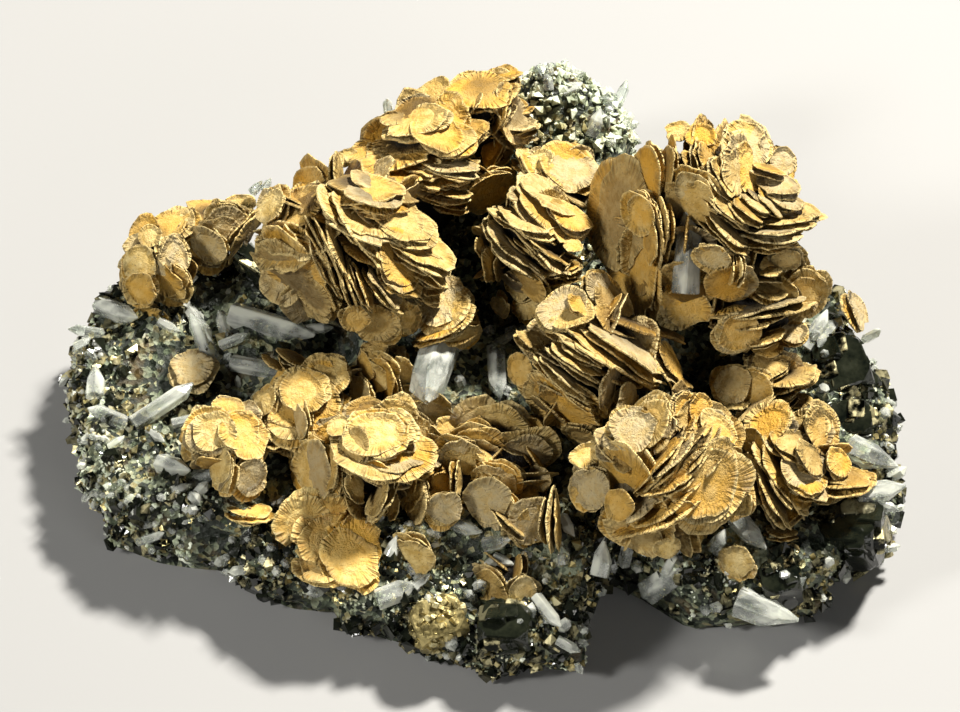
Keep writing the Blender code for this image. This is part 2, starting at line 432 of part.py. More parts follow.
def keep_main_body(obj):
    """Drops what a cut left loose, and sealed hollows."""
    bm = bmesh.new()
    bm.from_mesh(obj.data)
    bmesh.ops.triangulate(bm, faces=bm.faces)
    left = set(bm.faces)
    bodies = []
    while left:
        body = {left.pop()}
        edge = list(body)
        while edge:
            face = edge.pop()
            for side in face.edges:
                for other in side.link_faces:
                    if other in left:
                        left.remove(other)
                        body.add(other)
                        edge.append(other)
        bodies.append(body)
    bodies.sort(key=signed_volume)
    for body in bodies[:-1]:
        bmesh.ops.delete(bm, geom=list(body), context="FACES")
    bm.to_mesh(obj.data)
    bm.free()


def material(name):
    made = bpy.data.materials.new(name)
    made.use_nodes = True
    shader = made.node_tree.nodes["Principled BSDF"]
    colour, roughness, metallic = COLOURS[name]
    shader.inputs["Base Color"].default_value = colour
    shader.inputs["Roughness"].default_value = roughness
    shader.inputs["Metallic"].default_value = metallic
    made.diffuse_color = colour
    return made


def matrix_mesh(grow=0.0):
    """The matrix: a sphere's rings laid over its top, down its wall and across its flat base."""
    bm = bmesh.new()
    bmesh.ops.create_uvsphere(bm, u_segments=MATRIX_SEGMENTS, v_segments=MATRIX_RINGS, radius=1.0)
    top_rings = MATRIX_RINGS - 1 - len(WALL_RINGS)
    for vert in bm.verts:
        ring = round(math.acos(max(-1.0, min(1.0, vert.co.z))) / math.pi * MATRIX_RINGS)
        angle = math.atan2(vert.co.y, vert.co.x)
        radius = outline_radius(angle)
        if ring == 0 or ring == MATRIX_RINGS:
            share, level = 0.0, (1.0 if ring == 0 else 0.0)
        elif ring <= top_rings:
            share, level = TOP_REACH * (ring / top_rings) ** RING_SPREAD, 1.0
        else:
            share, level = WALL_RINGS[ring - top_rings - 1]
        x = OUTLINE_CENTRE[0] + share * radius * math.cos(angle)
        y = OUTLINE_CENTRE[1] + share * radius * math.sin(angle)
        z = level * matrix_top(x, y)
        if 0.0 < level < 1.0:
            push = WALL_PUSH * noise.noise(Vector((x, y, z)) / WALL_BUMP)
            x += push * math.cos(angle)
            y += push * math.sin(angle)
        out = grow if ring > top_rings and share > 0.9 else 0.0
        up = grow if level > 0.0 else -grow
        vert.co = (x + out * math.cos(angle), y + out * math.sin(angle) + BASE_SHIFT, z + up)
    bmesh.ops.triangulate(bm, faces=bm.faces, quad_method="FIXED")
    return bm


def prism_line(row):
    """A prism's foot and the way to its tip. A tip that is seen past the edge of the matrix stays
    about as high as the foot, instead of dropping to what lies behind."""
    foot_across, foot_up, foot_lift, tip_across, tip_up, tip_lift = row[:6]
    foot_near = seat(foot_across, foot_up, foot_lift)
    level = foot_near - (tip_up - foot_up) / math.tan(SIGHT_ANGLE)
    near = min(max(seat(tip_across, tip_up, tip_lift), level - DEEPEST_TIP), level + HIGHEST_TIP)
    foot = seen_point(foot_across, foot_up, foot_near)
    return foot, seen_point(tip_across, tip_up, near) - foot


def prism_mesh(row, grow=0.0):
    """A six-sided quartz prism with a pointed end."""
    width = row[6]
    foot, axis = prism_line(row)
    length = axis.length + grow
    shaft = max(length - TIP_SHARE * width, SHORTEST_SHAFT * length)
    radius = 0.5 * width + grow
    bm = bmesh.new()
    bmesh.ops.create_cone(bm, cap_ends=True, segments=PRISM_SIDES, radius1=radius, radius2=radius,
                          depth=shaft, matrix=Matrix.Translation((0.0, 0.0, 0.5 * shaft)))
    end = max(bm.faces, key=lambda face: face.calc_center_median().z)
    point = bmesh.ops.poke(bm, faces=[end])["verts"][0]
    point.co = (TIP_OFFSET * width, 0.0, length)
    frame = Matrix.Translation(foot) @ axis.to_track_quat("Z", "Y").to_matrix().to_4x4()
    bmesh.ops.transform(bm, matrix=frame, verts=bm.verts)
    return bm


def sulphide_mesh(row, grow=0.0):
    """A blocky crystal with cut corners."""
    across, up, lift, width, depth, height, turn = row
    sink = Vector((0.0, SULPHIDE_SINK * depth, -SULPHIDE_SINK * height))
    frame = Matrix.Translation(seen_point(across, up, seat(across, up, lift)) + sink)
    frame = frame @ Matrix.Rotation(math.radians(turn), 4, "Z")
    for tilt, axis in SULPHIDE_TILTS:
        frame = frame @ Matrix.Rotation(math.radians(tilt), 4, axis)
    shape = Matrix.Diagonal((width + 2 * grow, depth + 2 * grow, height + 2 * grow, 1.0))
    bm = bmesh.new()
    bmesh.ops.create_cube(bm, size=1.0, matrix=shape)
    cut = CORNER_CUT * min(width, depth, height)
    bmesh.ops.bevel(bm, geom=list(bm.verts), offset=cut, segments=1, affect="VERTICES")
    bmesh.ops.transform(bm, matrix=frame, verts=bm.verts)
    return bm


def group_mesh(groups, seed):
    """Whole groups, as lenses that overlap until they are joined."""
    bm = bmesh.new()
    for index, group in enumerate(groups):
        add_group(bm, group, seed + 40 * index)
    return bm


def single_mesh(row, seed):
    across, up, radius, lean, tilt, lift = row
    bm = bmesh.new()
    add_lens(bm, petal_frame(across, up, seat(across, up, lift), lean, tilt), radius, seed)
    return bm


def block_between(group, other):
    """A block that keeps a group clear of its neighbour: it starts midway between their round fronts."""
    middle, away = group_middle(group), group_middle(other)
    distance = (away - middle).length
    share = 0.5 + 0.5 * (group[2] ** 2 - other[2] ** 2) / distance ** 2
    start = share * distance - 0.5 * GAP
    bm = bmesh.new()
    turn = (away - middle).to_track_quat("Z", "Y").to_matrix().to_4x4()
    shift = Matrix.Translation((0.0, 0.0, start + 0.5 * BLOCK_SIZE))
    bmesh.ops.create_cube(bm, size=BLOCK_SIZE, matrix=Matrix.Translation(middle) @ turn @ shift)
    return bm


def neighbours(node):
    """Each group of this node with each group of another that it may touch."""
    for other_node, other_groups in SIDERITE_NODES.items():
        if other_node == node:
            continue
        for one in SIDERITE_NODES[node]:
            for two in other_groups:
                group, other = GROUPS[one], GROUPS[two]
                distance = (group_middle(group) - group_middle(other)).length
                if distance < group[2] + other[2] + LONG_PETAL:
                    yield group, other


def join_lenses(obj, cutters):
    """Joins an object's overlapping lenses into one solid, with a seed that lies inside them."""
    middle = sum((vert.co for vert in obj.data.vertices), Vector()) / len(obj.data.vertices)
    bm = bmesh.new()
    bmesh.ops.create_cube(bm, size=SEED_SIZE, matrix=Matrix.Translation(middle / MM))
    seed = new_object(obj.name + "_seed", bm, cutters)
    apply_boolean(obj, seed, "UNION")


def reach(obj):
    points = [vert.co for vert in obj.data.vertices]
    return [(min(p[axis] for p in points), max(p[axis] for p in points)) for axis in range(3)]


def build():
    for obj in list(bpy.data.objects):
        bpy.data.objects.remove(obj, do_unlink=True)
    parts = bpy.data.collections.new("siderite_specimen")
    cutters = bpy.data.collections.new("cutters")
    for collection in (parts, cutters):
        bpy.context.scene.collection.children.link(collection)
    cutters.hide_render = True
    materials = {name: material(name) for name in COLOURS}
    clearances = []

    def place(name, look, bm, clearance=None):
        """One node, joined if it is a group, and cut clear of those that are there already."""
        obj = new_object(name, bm, parts)
        if name in SIDERITE_NODES:
            join_lenses(obj, cutters)
            for index, (group, other) in enumerate(neighbours(name)):
                block = new_object(f"{name}_block_{index}", block_between(group, other), cutters)
                apply_boolean(obj, block, "DIFFERENCE")
        box = reach(obj)
        for other, other_box in clearances:
            if all(a[0] <= b[1] and b[0] <= a[1] for a, b in zip(box, other_box)):
                apply_boolean(obj, other, "DIFFERENCE")
        keep_main_body(obj)
        obj.data.materials.clear()
        obj.data.materials.append(materials[look])
        if clearance:
            other = new_object(name + "_clearance", clearance, cutters)
            clearances.append((other, reach(other)))

    place("matrix", "matrix", matrix_mesh(), matrix_mesh(MATRIX_GAP))
    for name, row in SULPHIDES.items():
        place(name, name.split("_")[0], sulphide_mesh(row), sulphide_mesh(row, GAP))
    for index, row in enumerate(QUARTZ, 1):
        place(f"quartz_{index:02d}", "quartz", prism_mesh(row), prism_mesh(row, GAP))
    for index, (name, groups) in enumerate(SIDERITE_NODES.items()):
        look = "siderite_golden" if name == "siderite_golden_shell" else "siderite"
        place(name, look, group_mesh([GROUPS[group] for group in groups], 100 * index))
    for index, row in enumerate(SINGLES, 1):
        place(f"siderite_disc_{index:02d}", "siderite", single_mesh(row, 7 * index))
    for obj in cutters.objects:
        obj.hide_render = True
        obj.display_type = "WIRE"


build()
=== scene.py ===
"""The siderite specimen dressed: serrated, ribbed siderite lamellae, clear quartz, dark sphalerite,
brassy pyrite and a granular matrix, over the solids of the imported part."""

import json
import math

import bmesh
import bpy
import numpy as np
from mathutils import Euler, Matrix, Vector, noise

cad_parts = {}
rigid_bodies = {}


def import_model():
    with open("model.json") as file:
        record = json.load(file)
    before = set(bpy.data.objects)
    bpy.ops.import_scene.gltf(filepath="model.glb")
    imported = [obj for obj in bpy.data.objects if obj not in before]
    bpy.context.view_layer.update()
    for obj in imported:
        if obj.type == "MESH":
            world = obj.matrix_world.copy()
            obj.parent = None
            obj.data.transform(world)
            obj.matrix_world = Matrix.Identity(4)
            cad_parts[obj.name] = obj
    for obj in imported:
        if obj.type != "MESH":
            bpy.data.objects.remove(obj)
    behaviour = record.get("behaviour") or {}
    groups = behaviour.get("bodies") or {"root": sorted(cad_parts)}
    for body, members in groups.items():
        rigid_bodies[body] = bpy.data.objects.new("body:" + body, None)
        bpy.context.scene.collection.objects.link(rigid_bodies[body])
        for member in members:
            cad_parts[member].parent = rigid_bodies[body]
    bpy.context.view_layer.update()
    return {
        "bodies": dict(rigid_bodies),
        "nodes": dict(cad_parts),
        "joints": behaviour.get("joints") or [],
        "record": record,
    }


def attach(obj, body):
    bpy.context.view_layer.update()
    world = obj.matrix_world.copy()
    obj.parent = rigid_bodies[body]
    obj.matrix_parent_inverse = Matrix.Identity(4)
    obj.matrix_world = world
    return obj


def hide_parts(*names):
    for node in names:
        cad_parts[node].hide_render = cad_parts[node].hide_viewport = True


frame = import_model()

MM = 0.001

# Crystals are placed as they are seen from the front and above: across to the right and up, in
# millimetres on a plane square to the sight line, which comes down at this angle.
SIGHT_ANGLE = math.radians(50.0)
EYE_DISTANCE = 1000.0
BASE_SHIFT = 12.0
RIGHT = Vector((1.0, 0.0, 0.0))
UPWARD = Vector((0.0, math.sin(SIGHT_ANGLE), math.cos(SIGHT_ANGLE)))
TOWARD = Vector((0.0, -math.cos(SIGHT_ANGLE), math.sin(SIGHT_ANGLE)))


# The outline of the matrix seen from above, before the base is centred.
OUTLINE_CENTRE = (0.0, -15.0)
OUTLINE = (
    (58, -24), (57, -14), (54, -8), (51, -1), (47, 5), (40, 9), (30, 11), (22, 14), (19, 20),
    (22, 27), (21, 33), (12, 34), (3, 35), (-2, 31), (-8, 25), (-12, 18), (-18, 12), (-27, 10),
    (-36, 9), (-44, 6), (-52, 2), (-57, -4), (-56.5, -14), (-55.5, -22), (-54.5, -30), (-52, -35.5),
    (-47, -38.5), (-37, -40), (-32, -44.5), (-27, -47), (-21, -47.5), (-19, -50), (-15, -52),
    (-8, -54), (-4, -57), (5, -58), (14, -56.5), (15.5, -50), (18, -42), (23, -45), (30, -50.5),
    (37, -50), (46, -49), (49, -43), (56, -39), (58, -33),
)
MATRIX_HEIGHT = 13.5
# Rises and hollows of the top: across, back, half width, half depth, height.
RISES = (
    (-16, -6, 18, 12, 5.0), (3, 18, 12, 12, 7.5), (12, 28, 10, 7, 14.0), (33, -6, 16, 14, 6.5),
    (14, -24, 12, 10, 3.5), (-44, -4, 9, 8, 3.0), (28, -40, 10, 8, -1.0), (0, -54, 16, 8, -5.0),
    (-20, -10, 4, 4, -6.0), (-1, 2, 4, 4, -6.0), (30, -14, 4, 5, -5.0), (-26, -40, 4, 4, -4.0),
    (-39, -5, 4, 5, -4.0),
)
WALL_RINGS = ((0.95, 0.97), (0.985, 0.82), (1.0, 0.55), (0.99, 0.25), (0.96, 0.0), (0.5, 0.0))
TOP_BUMPS = ((1.6, 9.0, 0.0), (0.9, 4.0, 7.0))
EDGE_FALL = 3.0
TOP_REACH = 0.93
RING_SPREAD = 0.85
WALL_PUSH = 2.2
WALL_BUMP = 6.0

# Each group of siderite crystals: where its middle is seen, the height of that middle, the radius
# that its rims reach, how round it is toward the eye, the radius of the root that it spreads from,
# and its crystals. A crystal is a thin lens:
# across, up, radius, the way that its face leans, how far it leans, and its lift toward the eye.
GROUPS = {
    "left": ((-18.5, 16.0), 30.0, 13.5, 1.0, 9.0, (
        (-26.0, 12.0, 8.8, 222, 62, 0), (-26.5, 11.0, 8.6, 222, 66, -1.0), (-24.0, 19.0, 9.0, 135, 58, 0),
        (-16.5, 23.0, 6.0, 90, 60, 0), (-16.5, 20.0, 8.0, 66, 65, 0), (-15.0, 22.5, 5.5, 75, 66, 0.5),
        (-16.5, 18.0, 8.0, 45, 70, 0.5), (-10.5, 18.8, 4.8, 60, 50, 0), (-9.5, 15.5, 6.0, 55, 65, 0),
        (-8.0, 12.5, 4.5, 50, 70, 0), (-8.0, 10.0, 3.5, 50, 60, 0), (-11.5, 11.5, 4.0, 30, 50, 0),
        (-14.0, 10.0, 5.0, 40, 72, 0), (-22.0, 14.5, 6.0, 25, 85, 0.5), (-21.0, 14.5, 5.5, 24, 84, 0.5),
        (-18.6, 10.5, 4.5, 18, 85, 0), (-17.3, 10.3, 4.3, 22, 82, 0), (-14.5, 4.5, 3.5, 270, 35, 0),
        (-10.8, 5.5, 2.8, 270, 35, 0), (-18.0, 5.5, 2.5, 270, 40, 0), (-5.0, 6.2, 4.8, 120, 40, 0),
        (-5.0, 4.0, 5.5, 118, 76, 0.5), (-2.2, 3.0, 2.6, 300, 40, -1.0), (-29.5, 21.5, 3.0, 150, 50, 0),
    )),
    "top": ((-7.5, 29.0), 30.0, 9.5, 1.0, 6.6, (
        (-9.0, 33.0, 5.0, 110, 62, 0), (-11.0, 29.5, 8.5, 105, 65, 0), (-10.0, 28.5, 8.5, 95, 62, 0.5),
        (-4.6, 31.0, 4.6, 80, 52, 0.5),
        (-5.0, 27.5, 5.0, 75, 68, 0), (-8.0, 26.7, 7.0, 80, 70, 0.5), (-5.5, 23.6, 4.7, 80, 72, 0),
        (-4.0, 21.6, 2.7, 80, 75, 0), (-19.0, 28.3, 1.8, 120, 40, 0), (1.5, 23.8, 4.5, 300, 55, 0),
    )),
    "back": ((0.5, 34.5), 29.0, 7.5, 1.0, 5.6, (
        (0.0, 37.5, 5.5, 100, 56, 0), (-7.0, 36.8, 3.0, 130, 45, 0), (4.5, 34.5, 5.0, 20, 62, 0),
        (-0.8, 35.8, 2.0, 150, 78, 0.5), (3.0, 34.5, 3.0, 150, 78, 0.5), (3.5, 33.8, 1.7, 150, 78, 0.5),
        (5.0, 32.2, 4.0, 100, 78, 0), (-3.7, 32.5, 1.6, 150, 70, 0), (-1.2, 31.7, 1.9, 150, 70, 0),
        (1.8, 29.2, 2.5, 150, 55, 0), (3.3, 28.2, 2.0, 150, 55, 0), (1.0, 26.3, 1.5, 150, 50, 0),
    )),
    "middle": ((7.0, 16.0), 28.0, 8.5, 1.0, 5.8, (
        (9.5, 21.0, 6.5, 50, 60, 0), (9.5, 22.5, 5.5, 50, 68, 0), (12.5, 19.8, 4.0, 50, 60, 0),
        (6.5, 18.8, 5.2, 68, 75, 0.5), (5.0, 15.0, 6.3, 48, 72, 0), (8.0, 15.8, 4.5, 52, 75, 0),
        (9.0, 14.8, 4.5, 52, 75, 0), (10.0, 13.8, 4.5, 52, 75, 0), (11.3, 12.7, 2.4, 110, 72, 0),
        (12.8, 12.2, 2.3, 110, 72, 0), (12.0, 10.7, 2.7, 95, 75, 0), (13.2, 16.0, 1.6, 60, 50, 0),
        (7.3, 10.8, 4.0, 225, 65, 0), (1.6, 13.0, 2.9, 0, 65, 0), (0.0, 15.5, 1.6, 0, 60, 0),
        (6.8, 7.0, 2.4, 190, 30, -2.0), (3.0, 7.0, 1.8, 200, 50, -2.0),
    )),
    "saddle": ((11.5, 24.5), 26.5, 6.5, 0.8, 4.6, (
        (10.0, 25.7, 6.0, 55, 65, 0), (15.5, 25.5, 3.0, 70, 45, 0), (15.5, 23.0, 2.4, 140, 70, 0),
        (12.3, 27.0, 4.6, 62, 42, 0.5), (8.4, 27.6, 3.0, 120, 50, 0.5),
    )),
    "right": ((33.5, 18.5), 33.0, 14.5, 1.0, 9.8, (
        (20.5, 19.5, 9.2, 185, 58, 0), (22.5, 13.0, 8.3, 185, 65, 0), (22.8, 20.5, 3.2, 200, 40, 0.5),
        (25.0, 17.0, 5.0, 185, 78, 0.5), (26.0, 18.0, 4.0, 185, 80, 0.5), (24.5, 26.0, 4.5, 190, 65, 0),
        (27.2, 26.5, 4.0, 175, 75, 0), (30.3, 23.7, 4.2, 220, 45, 0), (32.0, 27.5, 3.7, 20, 70, 0),
        (34.5, 25.3, 3.7, 30, 65, 0.5), (36.3, 26.0, 3.8, 15, 60, 0.5), (37.3, 28.0, 4.5, 15, 55, 0),
        (38.5, 30.5, 4.0, 45, 35, 0), (41.0, 29.3, 2.5, 10, 60, 0), (43.3, 27.8, 2.5, 20, 35, 0),
        (41.0, 26.0, 3.0, 70, 75, 0), (42.5, 24.2, 3.8, 75, 60, 0), (43.5, 22.0, 3.3, 70, 65, 0),
        (46.3, 20.7, 2.4, 85, 65, 1.0), (39.5, 21.8, 2.5, 60, 70, 0.5), (41.6, 21.6, 2.5, 45, 72, 0.5),
        (43.2, 19.0, 4.2, 88, 72, 0.5), (41.0, 17.3, 4.8, 88, 76, 1.0), (37.8, 20.3, 3.2, 50, 72, 0.5),
        (35.6, 20.5, 3.4, 48, 72, 0.5), (35.0, 17.3, 4.2, 48, 75, 0.5), (33.2, 14.0, 3.0, 250, 45, 0),
        (35.7, 12.8, 2.4, 180, 75, 0.5), (37.2, 12.6, 2.4, 180, 75, 0.5), (35.8, 10.5, 4.0, 280, 50, 0),
        (43.5, 14.0, 2.8, 280, 50, 0), (41.5, 12.0, 1.7, 90, 70, 1.0), (28.3, 32.0, 1.8, 110, 30, 0),
        (31.5, 31.5, 2.4, 110, 35, 0), (34.2, 22.4, 3.4, 55, 70, 0),
    )),
    "right_lower": ((39.5, 6.5), 26.0, 7.5, 0.8, 5.4, (
        (39.0, 6.8, 8.3, 95, 78, 3.0), (43.0, 9.3, 2.5, 230, 40, 0), (47.0, 9.5, 3.5, 300, 30, 0),
        (36.2, 3.2, 3.5, 280, 35, 1.0), (41.0, 2.6, 3.0, 110, 75, 1.0), (45.0, 3.0, 2.3, 110, 40, 0),
        (28.3, 7.5, 3.8, 270, 20, 3.0), (32.5, 8.5, 3.2, 250, 40, 0), (40.5, 9.4, 3.6, 70, 60, 0.5),
    )),
    "centre": ((16.0, -1.0), 26.0, 10.5, 1.0, 7.2, (
        (12.0, 6.5, 4.0, 110, 35, 0), (14.3, 6.8, 2.4, 40, 60, 0), (20.5, 1.5, 7.5, 52, 69, 0),
        (27.0, -1.5, 3.8, 30, 72, 1.0), (17.3, 1.0, 10.5, 58, 78, 0.5), (14.8, 0.5, 4.5, 58, 75, 0),
        (14.0, -1.2, 5.0, 57, 75, 0), (12.8, -3.8, 5.8, 55, 78, 0.5), (12.3, -5.5, 6.3, 235, 70, 0),
        (7.0, 2.0, 2.4, 60, 60, 0), (11.5, -6.7, 7.0, 235, 62, 0), (5.6, -1.8, 2.2, 200, 30, 0.5),
        (18.5, -4.7, 3.4, 340, 65, 0), (21.0, -6.0, 2.2, 340, 50, 0), (14.5, -11.0, 3.0, 250, 65, 0.5),
        (17.3, 8.8, 4.2, 35, 55, -2.0),
    )),
    "front_right": ((26.5, -17.0), 22.0, 11.5, 1.0, 7.8, (
        (22.5, -20.0, 8.5, 212, 58, 0), (22.0, -24.5, 5.5, 240, 56, 0), (21.5, -10.5, 4.0, 130, 40, 0),
        (24.7, -10.0, 4.5, 160, 60, 0), (28.8, -7.5, 3.0, 0, 55, 0), (31.2, -7.3, 2.3, 0, 45, 0),
        (26.8, -10.3, 1.8, 150, 60, 0.5), (25.5, -15.3, 6.0, 140, 78, 0.5), (27.0, -15.0, 5.8, 140, 78, 0.5),
        (30.0, -13.5, 5.3, 137, 78, 0.5), (31.0, -14.8, 4.5, 137, 76, 0.5), (32.7, -16.0, 2.0, 137, 70, 0.5),
        (27.0, -18.3, 4.5, 112, 72, 0.5), (25.8, -21.5, 7.7, 122, 70, 1.0), (19.8, -21.3, 2.4, 200, 40, 1.0),
        (33.0, -18.8, 6.3, 330, 25, 0), (33.8, -10.8, 3.8, 40, 45, 0), (35.3, -14.3, 2.3, 300, 55, 0),
        (29.3, -22.0, 1.5, 300, 40, 1.0), (15.2, -14.3, 2.2, 120, 40, 0), (15.8, -18.8, 3.4, 190, 35, 0),
        (26.8, -27.3, 2.0, 280, 40, 1.0), (37.3, -21.0, 2.4, 200, 35, 1.0),
    )),
    "front_left": ((-15.0, -14.5), 18.5, 9.5, 0.9, 6.4, (
        (-14.0, -13.0, 7.5, 80, 53, 0), (-20.0, -10.0, 2.0, 100, 40, 0), (-12.5, -14.0, 6.0, 65, 50, 0),
        (-13.0, -14.5, 5.8, 75, 62, 0.5), (-14.7, -16.3, 2.6, 250, 55, 1.0), (-14.0, -20.0, 4.0, 155, 70, 0.5),
        (-9.3, -20.5, 4.3, 185, 60, 0), (-12.5, -21.5, 2.0, 170, 65, 0), (-24.0, -16.0, 5.0, 190, 50, 0),
        (-22.5, -16.3, 4.2, 185, 62, 0.5), (-20.7, -16.5, 3.7, 180, 70, 0.5), (-17.8, -18.7, 2.4, 20, 55, 0.5),
        (-14.4, -10.8, 5.2, 90, 42, 0.5), (-18.4, -13.6, 3.6, 160, 40, 0),
    )),
    "front_centre": ((1.0, -16.5), 15.5, 11.0, 0.45, 7.4, (
        (3.0, -10.5, 5.0, 250, 35, 0), (-0.5, -9.5, 3.4, 170, 45, 0), (3.2, -17.5, 3.6, 250, 45, 0),
        (4.5, -13.0, 2.0, 60, 60, 0.5), (7.9, -14.0, 3.0, 30, 75, 0.5), (2.0, -21.3, 4.2, 225, 40, 1.0),
        (4.0, -24.0, 3.3, 45, 75, 1.5), (7.6, -24.2, 4.2, 300, 30, 1.0), (-4.3, -10.8, 2.5, 40, 35, 0),
        (-3.0, -14.5, 3.8, 260, 30, 0.5), (-3.7, -17.5, 3.1, 0, 80, 1.5), (-5.5, -18.0, 1.8, 250, 30, 0),
        (-5.5, -22.0, 3.0, 270, 25, 1.0), (-7.5, -7.5, 3.2, 250, 35, 0.5), (8.5, -17.5, 2.0, 200, 40, 0),
        (-0.2, -12.8, 4.2, 255, 36, 0.5), (2.6, -16.2, 3.4, 60, 55, 0),
        (7.5, -10.5, 2.4, 250, 35, 0),
    )),
    "inner_left": ((-14.5, -2.5), 18.5, 6.0, 0.7, 4.0, (
        (-13.3, -3.5, 4.3, 200, 68, 0.5), (-16.8, -5.0, 3.0, 190, 60, 0.5), (-16.5, -1.5, 2.0, 190, 50, 0),
        (-11.0, -2.3, 2.2, 250, 35, 0), (-15.0, 0.5, 2.4, 100, 50, 0), (-9.8, -5.5, 2.0, 250, 40, 0),
        (-14.2, -1.6, 3.2, 215, 45, 0.5),
    )),
    "left_fan": ((-25.0, -7.5), 19.0, 7.5, 0.6, 4.8, (
        (-26.0, -9.0, 5.8, 100, 30, 0), (-25.6, -9.6, 3.5, 180, 66, 1.5), (-21.5, -2.8, 3.7, 110, 30, 0),
        (-29.0, -12.3, 2.6, 95, 70, 0.5), (-26.5, -0.3, 2.7, 60, 72, 0.5), (-29.6, -0.9, 1.8, 60, 72, 0.5),
        (-30.5, -6.5, 2.4, 160, 45, 0), (-25.0, -4.6, 4.2, 100, 34, 0.5),
    )),
    "outer_left": ((-36.0, -12.5), 18.0, 7.0, 0.6, 4.4, (
        (-38.7, -10.5, 3.6, 100, 15, 0.5), (-41.0, -11.5, 2.2, 150, 35, 0), (-35.6, -11.5, 4.6, 350, 70, 0),
        (-36.2, -17.0, 3.1, 170, 55, 1.0), (-32.9, -17.5, 3.1, 330, 35, 0), (-36.0, -7.5, 2.6, 80, 45, 0),
        (-38.5, -14.5, 3.0, 270, 65, 0.5), (-33.6, -11.4, 3.8, 50, 38, 0.5),
    )),
    "far_left": ((-45.5, 13.5), 20.0, 7.0, 0.7, 4.6, (
        (-43.0, 18.7, 3.8, 110, 45, 0), (-47.2, 17.0, 2.0, 130, 30, 0), (-43.7, 15.0, 2.9, 10, 30, 0.5),
        (-45.3, 13.0, 1.6, 210, 30, 1.0), (-48.6, 12.7, 3.4, 180, 35, 0), (-48.6, 9.4, 3.0, 200, 30, 0.5),
        (-47.0, 5.4, 2.6, 260, 35, 0), (-43.6, 10.8, 3.4, 220, 45, 0.5),
    )),
    "upper_left": ((-37.5, 17.5), 20.0, 6.0, 0.7, 4.4, (
        (-36.2, 18.8, 4.0, 300, 25, 0.5), (-39.0, 20.3, 4.0, 90, 65, -1.0), (-34.5, 21.3, 2.3, 100, 30, 0),
        (-34.2, 17.3, 4.5, 325, 78, 1.5), (-39.2, 15.8, 3.6, 235, 38, 0.5),
    )),
    "golden_shell": ((-21.0, -26.5), 12.0, 7.0, 0.5, 4.8, (
        (-24.9, -24.2, 5.2, 320, 30, 0.5), (-18.3, -28.4, 5.4, 60, 22, 1.0), (-21.0, -22.7, 4.2, 265, 40, -0.5),
        (-22.2, -29.6, 4.4, 95, 46, 0.3), (-33.0, -22.7, 3.7, 85, 74, 1.0), (-22.0, -26.6, 4.6, 40, 30, 0.4),
    )),
    "right_upper": ((41.0, -4.5), 19.5, 6.5, 0.6, 4.2, (
        (35.7, -4.3, 3.3, 180, 35, 0), (39.0, -3.8, 3.0, 200, 35, 0), (43.7, -3.1, 5.6, 100, 66, 1.0),
        (39.9, -6.9, 3.9, 130, 76, 1.0), (37.0, -6.8, 2.0, 110, 60, 0), (41.2, -1.4, 3.4, 95, 52, 0.5),
    )),
    "far_right": ((44.5, -16.0), 17.5, 9.0, 0.8, 6.0, (
        (41.1, -9.9, 3.8, 130, 45, 0), (43.9, -12.6, 3.5, 70, 55, 0), (47.1, -15.1, 3.0, 30, 50, 0),
        (51.0, -15.4, 2.5, 20, 45, 0), (48.6, -9.9, 3.5, 20, 40, 0), (43.3, -17.1, 6.2, 35, 68, 0.5),
        (41.6, -20.4, 5.8, 28, 75, 1.0), (42.9, -25.6, 2.6, 85, 72, 1.5), (44.5, -28.5, 2.2, 240, 45, 0),
        (51.9, -18.0, 4.9, 95, 66, 1.5), (39.0, -12.3, 2.2, 200, 50, 0), (46.4, -17.6, 3.8, 55, 50, 0.5),
    )),
    "front_edge": ((4.5, -32.0), 8.5, 5.5, 0.6, 3.8, (
        (1.0, -33.0, 4.5, 215, 50, 0), (8.5, -30.3, 2.2, 270, 45, 0), (6.0, -33.4, 2.6, 280, 30, 0.5),
        (5.9, -30.5, 2.6, 170, 72, 1.0),
    )),
}

# Groups that have grown into each other make one solid.
SIDERITE_NODES = {
    "siderite_rosette_right": ("right", "right_lower"),
    "siderite_rosette_left": ("left",),
    "siderite_rosette_centre": ("centre",),
    "siderite_rosette_front_right": ("front_right",),
    "siderite_rosettes_back": ("top", "back"),
    "siderite_rosette_middle": ("middle", "saddle"),
    "siderite_rosette_front_left": ("front_left",),
    "siderite_cluster_far_right": ("far_right",),
    "siderite_cluster_far_left": ("far_left", "upper_left"),
    "siderite_cluster_outer_left": ("outer_left",),
    "siderite_cluster_left_fan": ("left_fan",),
    "siderite_cluster_inner_left": ("inner_left",),
    "siderite_cluster_front_centre": ("front_centre",),
    "siderite_cluster_right_upper": ("right_upper",),
    "siderite_cluster_front_edge": ("front_edge",),
    "siderite_golden_shell": ("golden_shell",),
}
LENS_EDGE = 0.7
LENS_SHARE = 0.12
RIM_WAVES = ((2.0, 0.05, 1.0), (3.0, 0.035, 1.7), (5.0, 0.03, 2.3))
FURTHEST_OFF = 0.97
FLATTEST_ROOT = 0.5
FOOT_SHARE = 0.72
FOOT_DEPTH = 1.5
SIGHT_START = 70.0
SIGHT_STEP = 0.25
SIGHT_STEPS = 480

# Siderite crystals that grew alone: across, up, radius, lean direction, lean, height over the matrix.
SINGLES = (
    (-41.1, -2.1, 4.0, 95, 42, 1.5), (-9.3, -28.3, 3.7, 225, 45, 1.5), (10.2, -23.3, 4.5, 0, 84, 3.0),
    (36.8, -29.5, 2.8, 200, 25, 1.5), (53.2, 6.1, 3.4, 25, 70, 2.0),
)

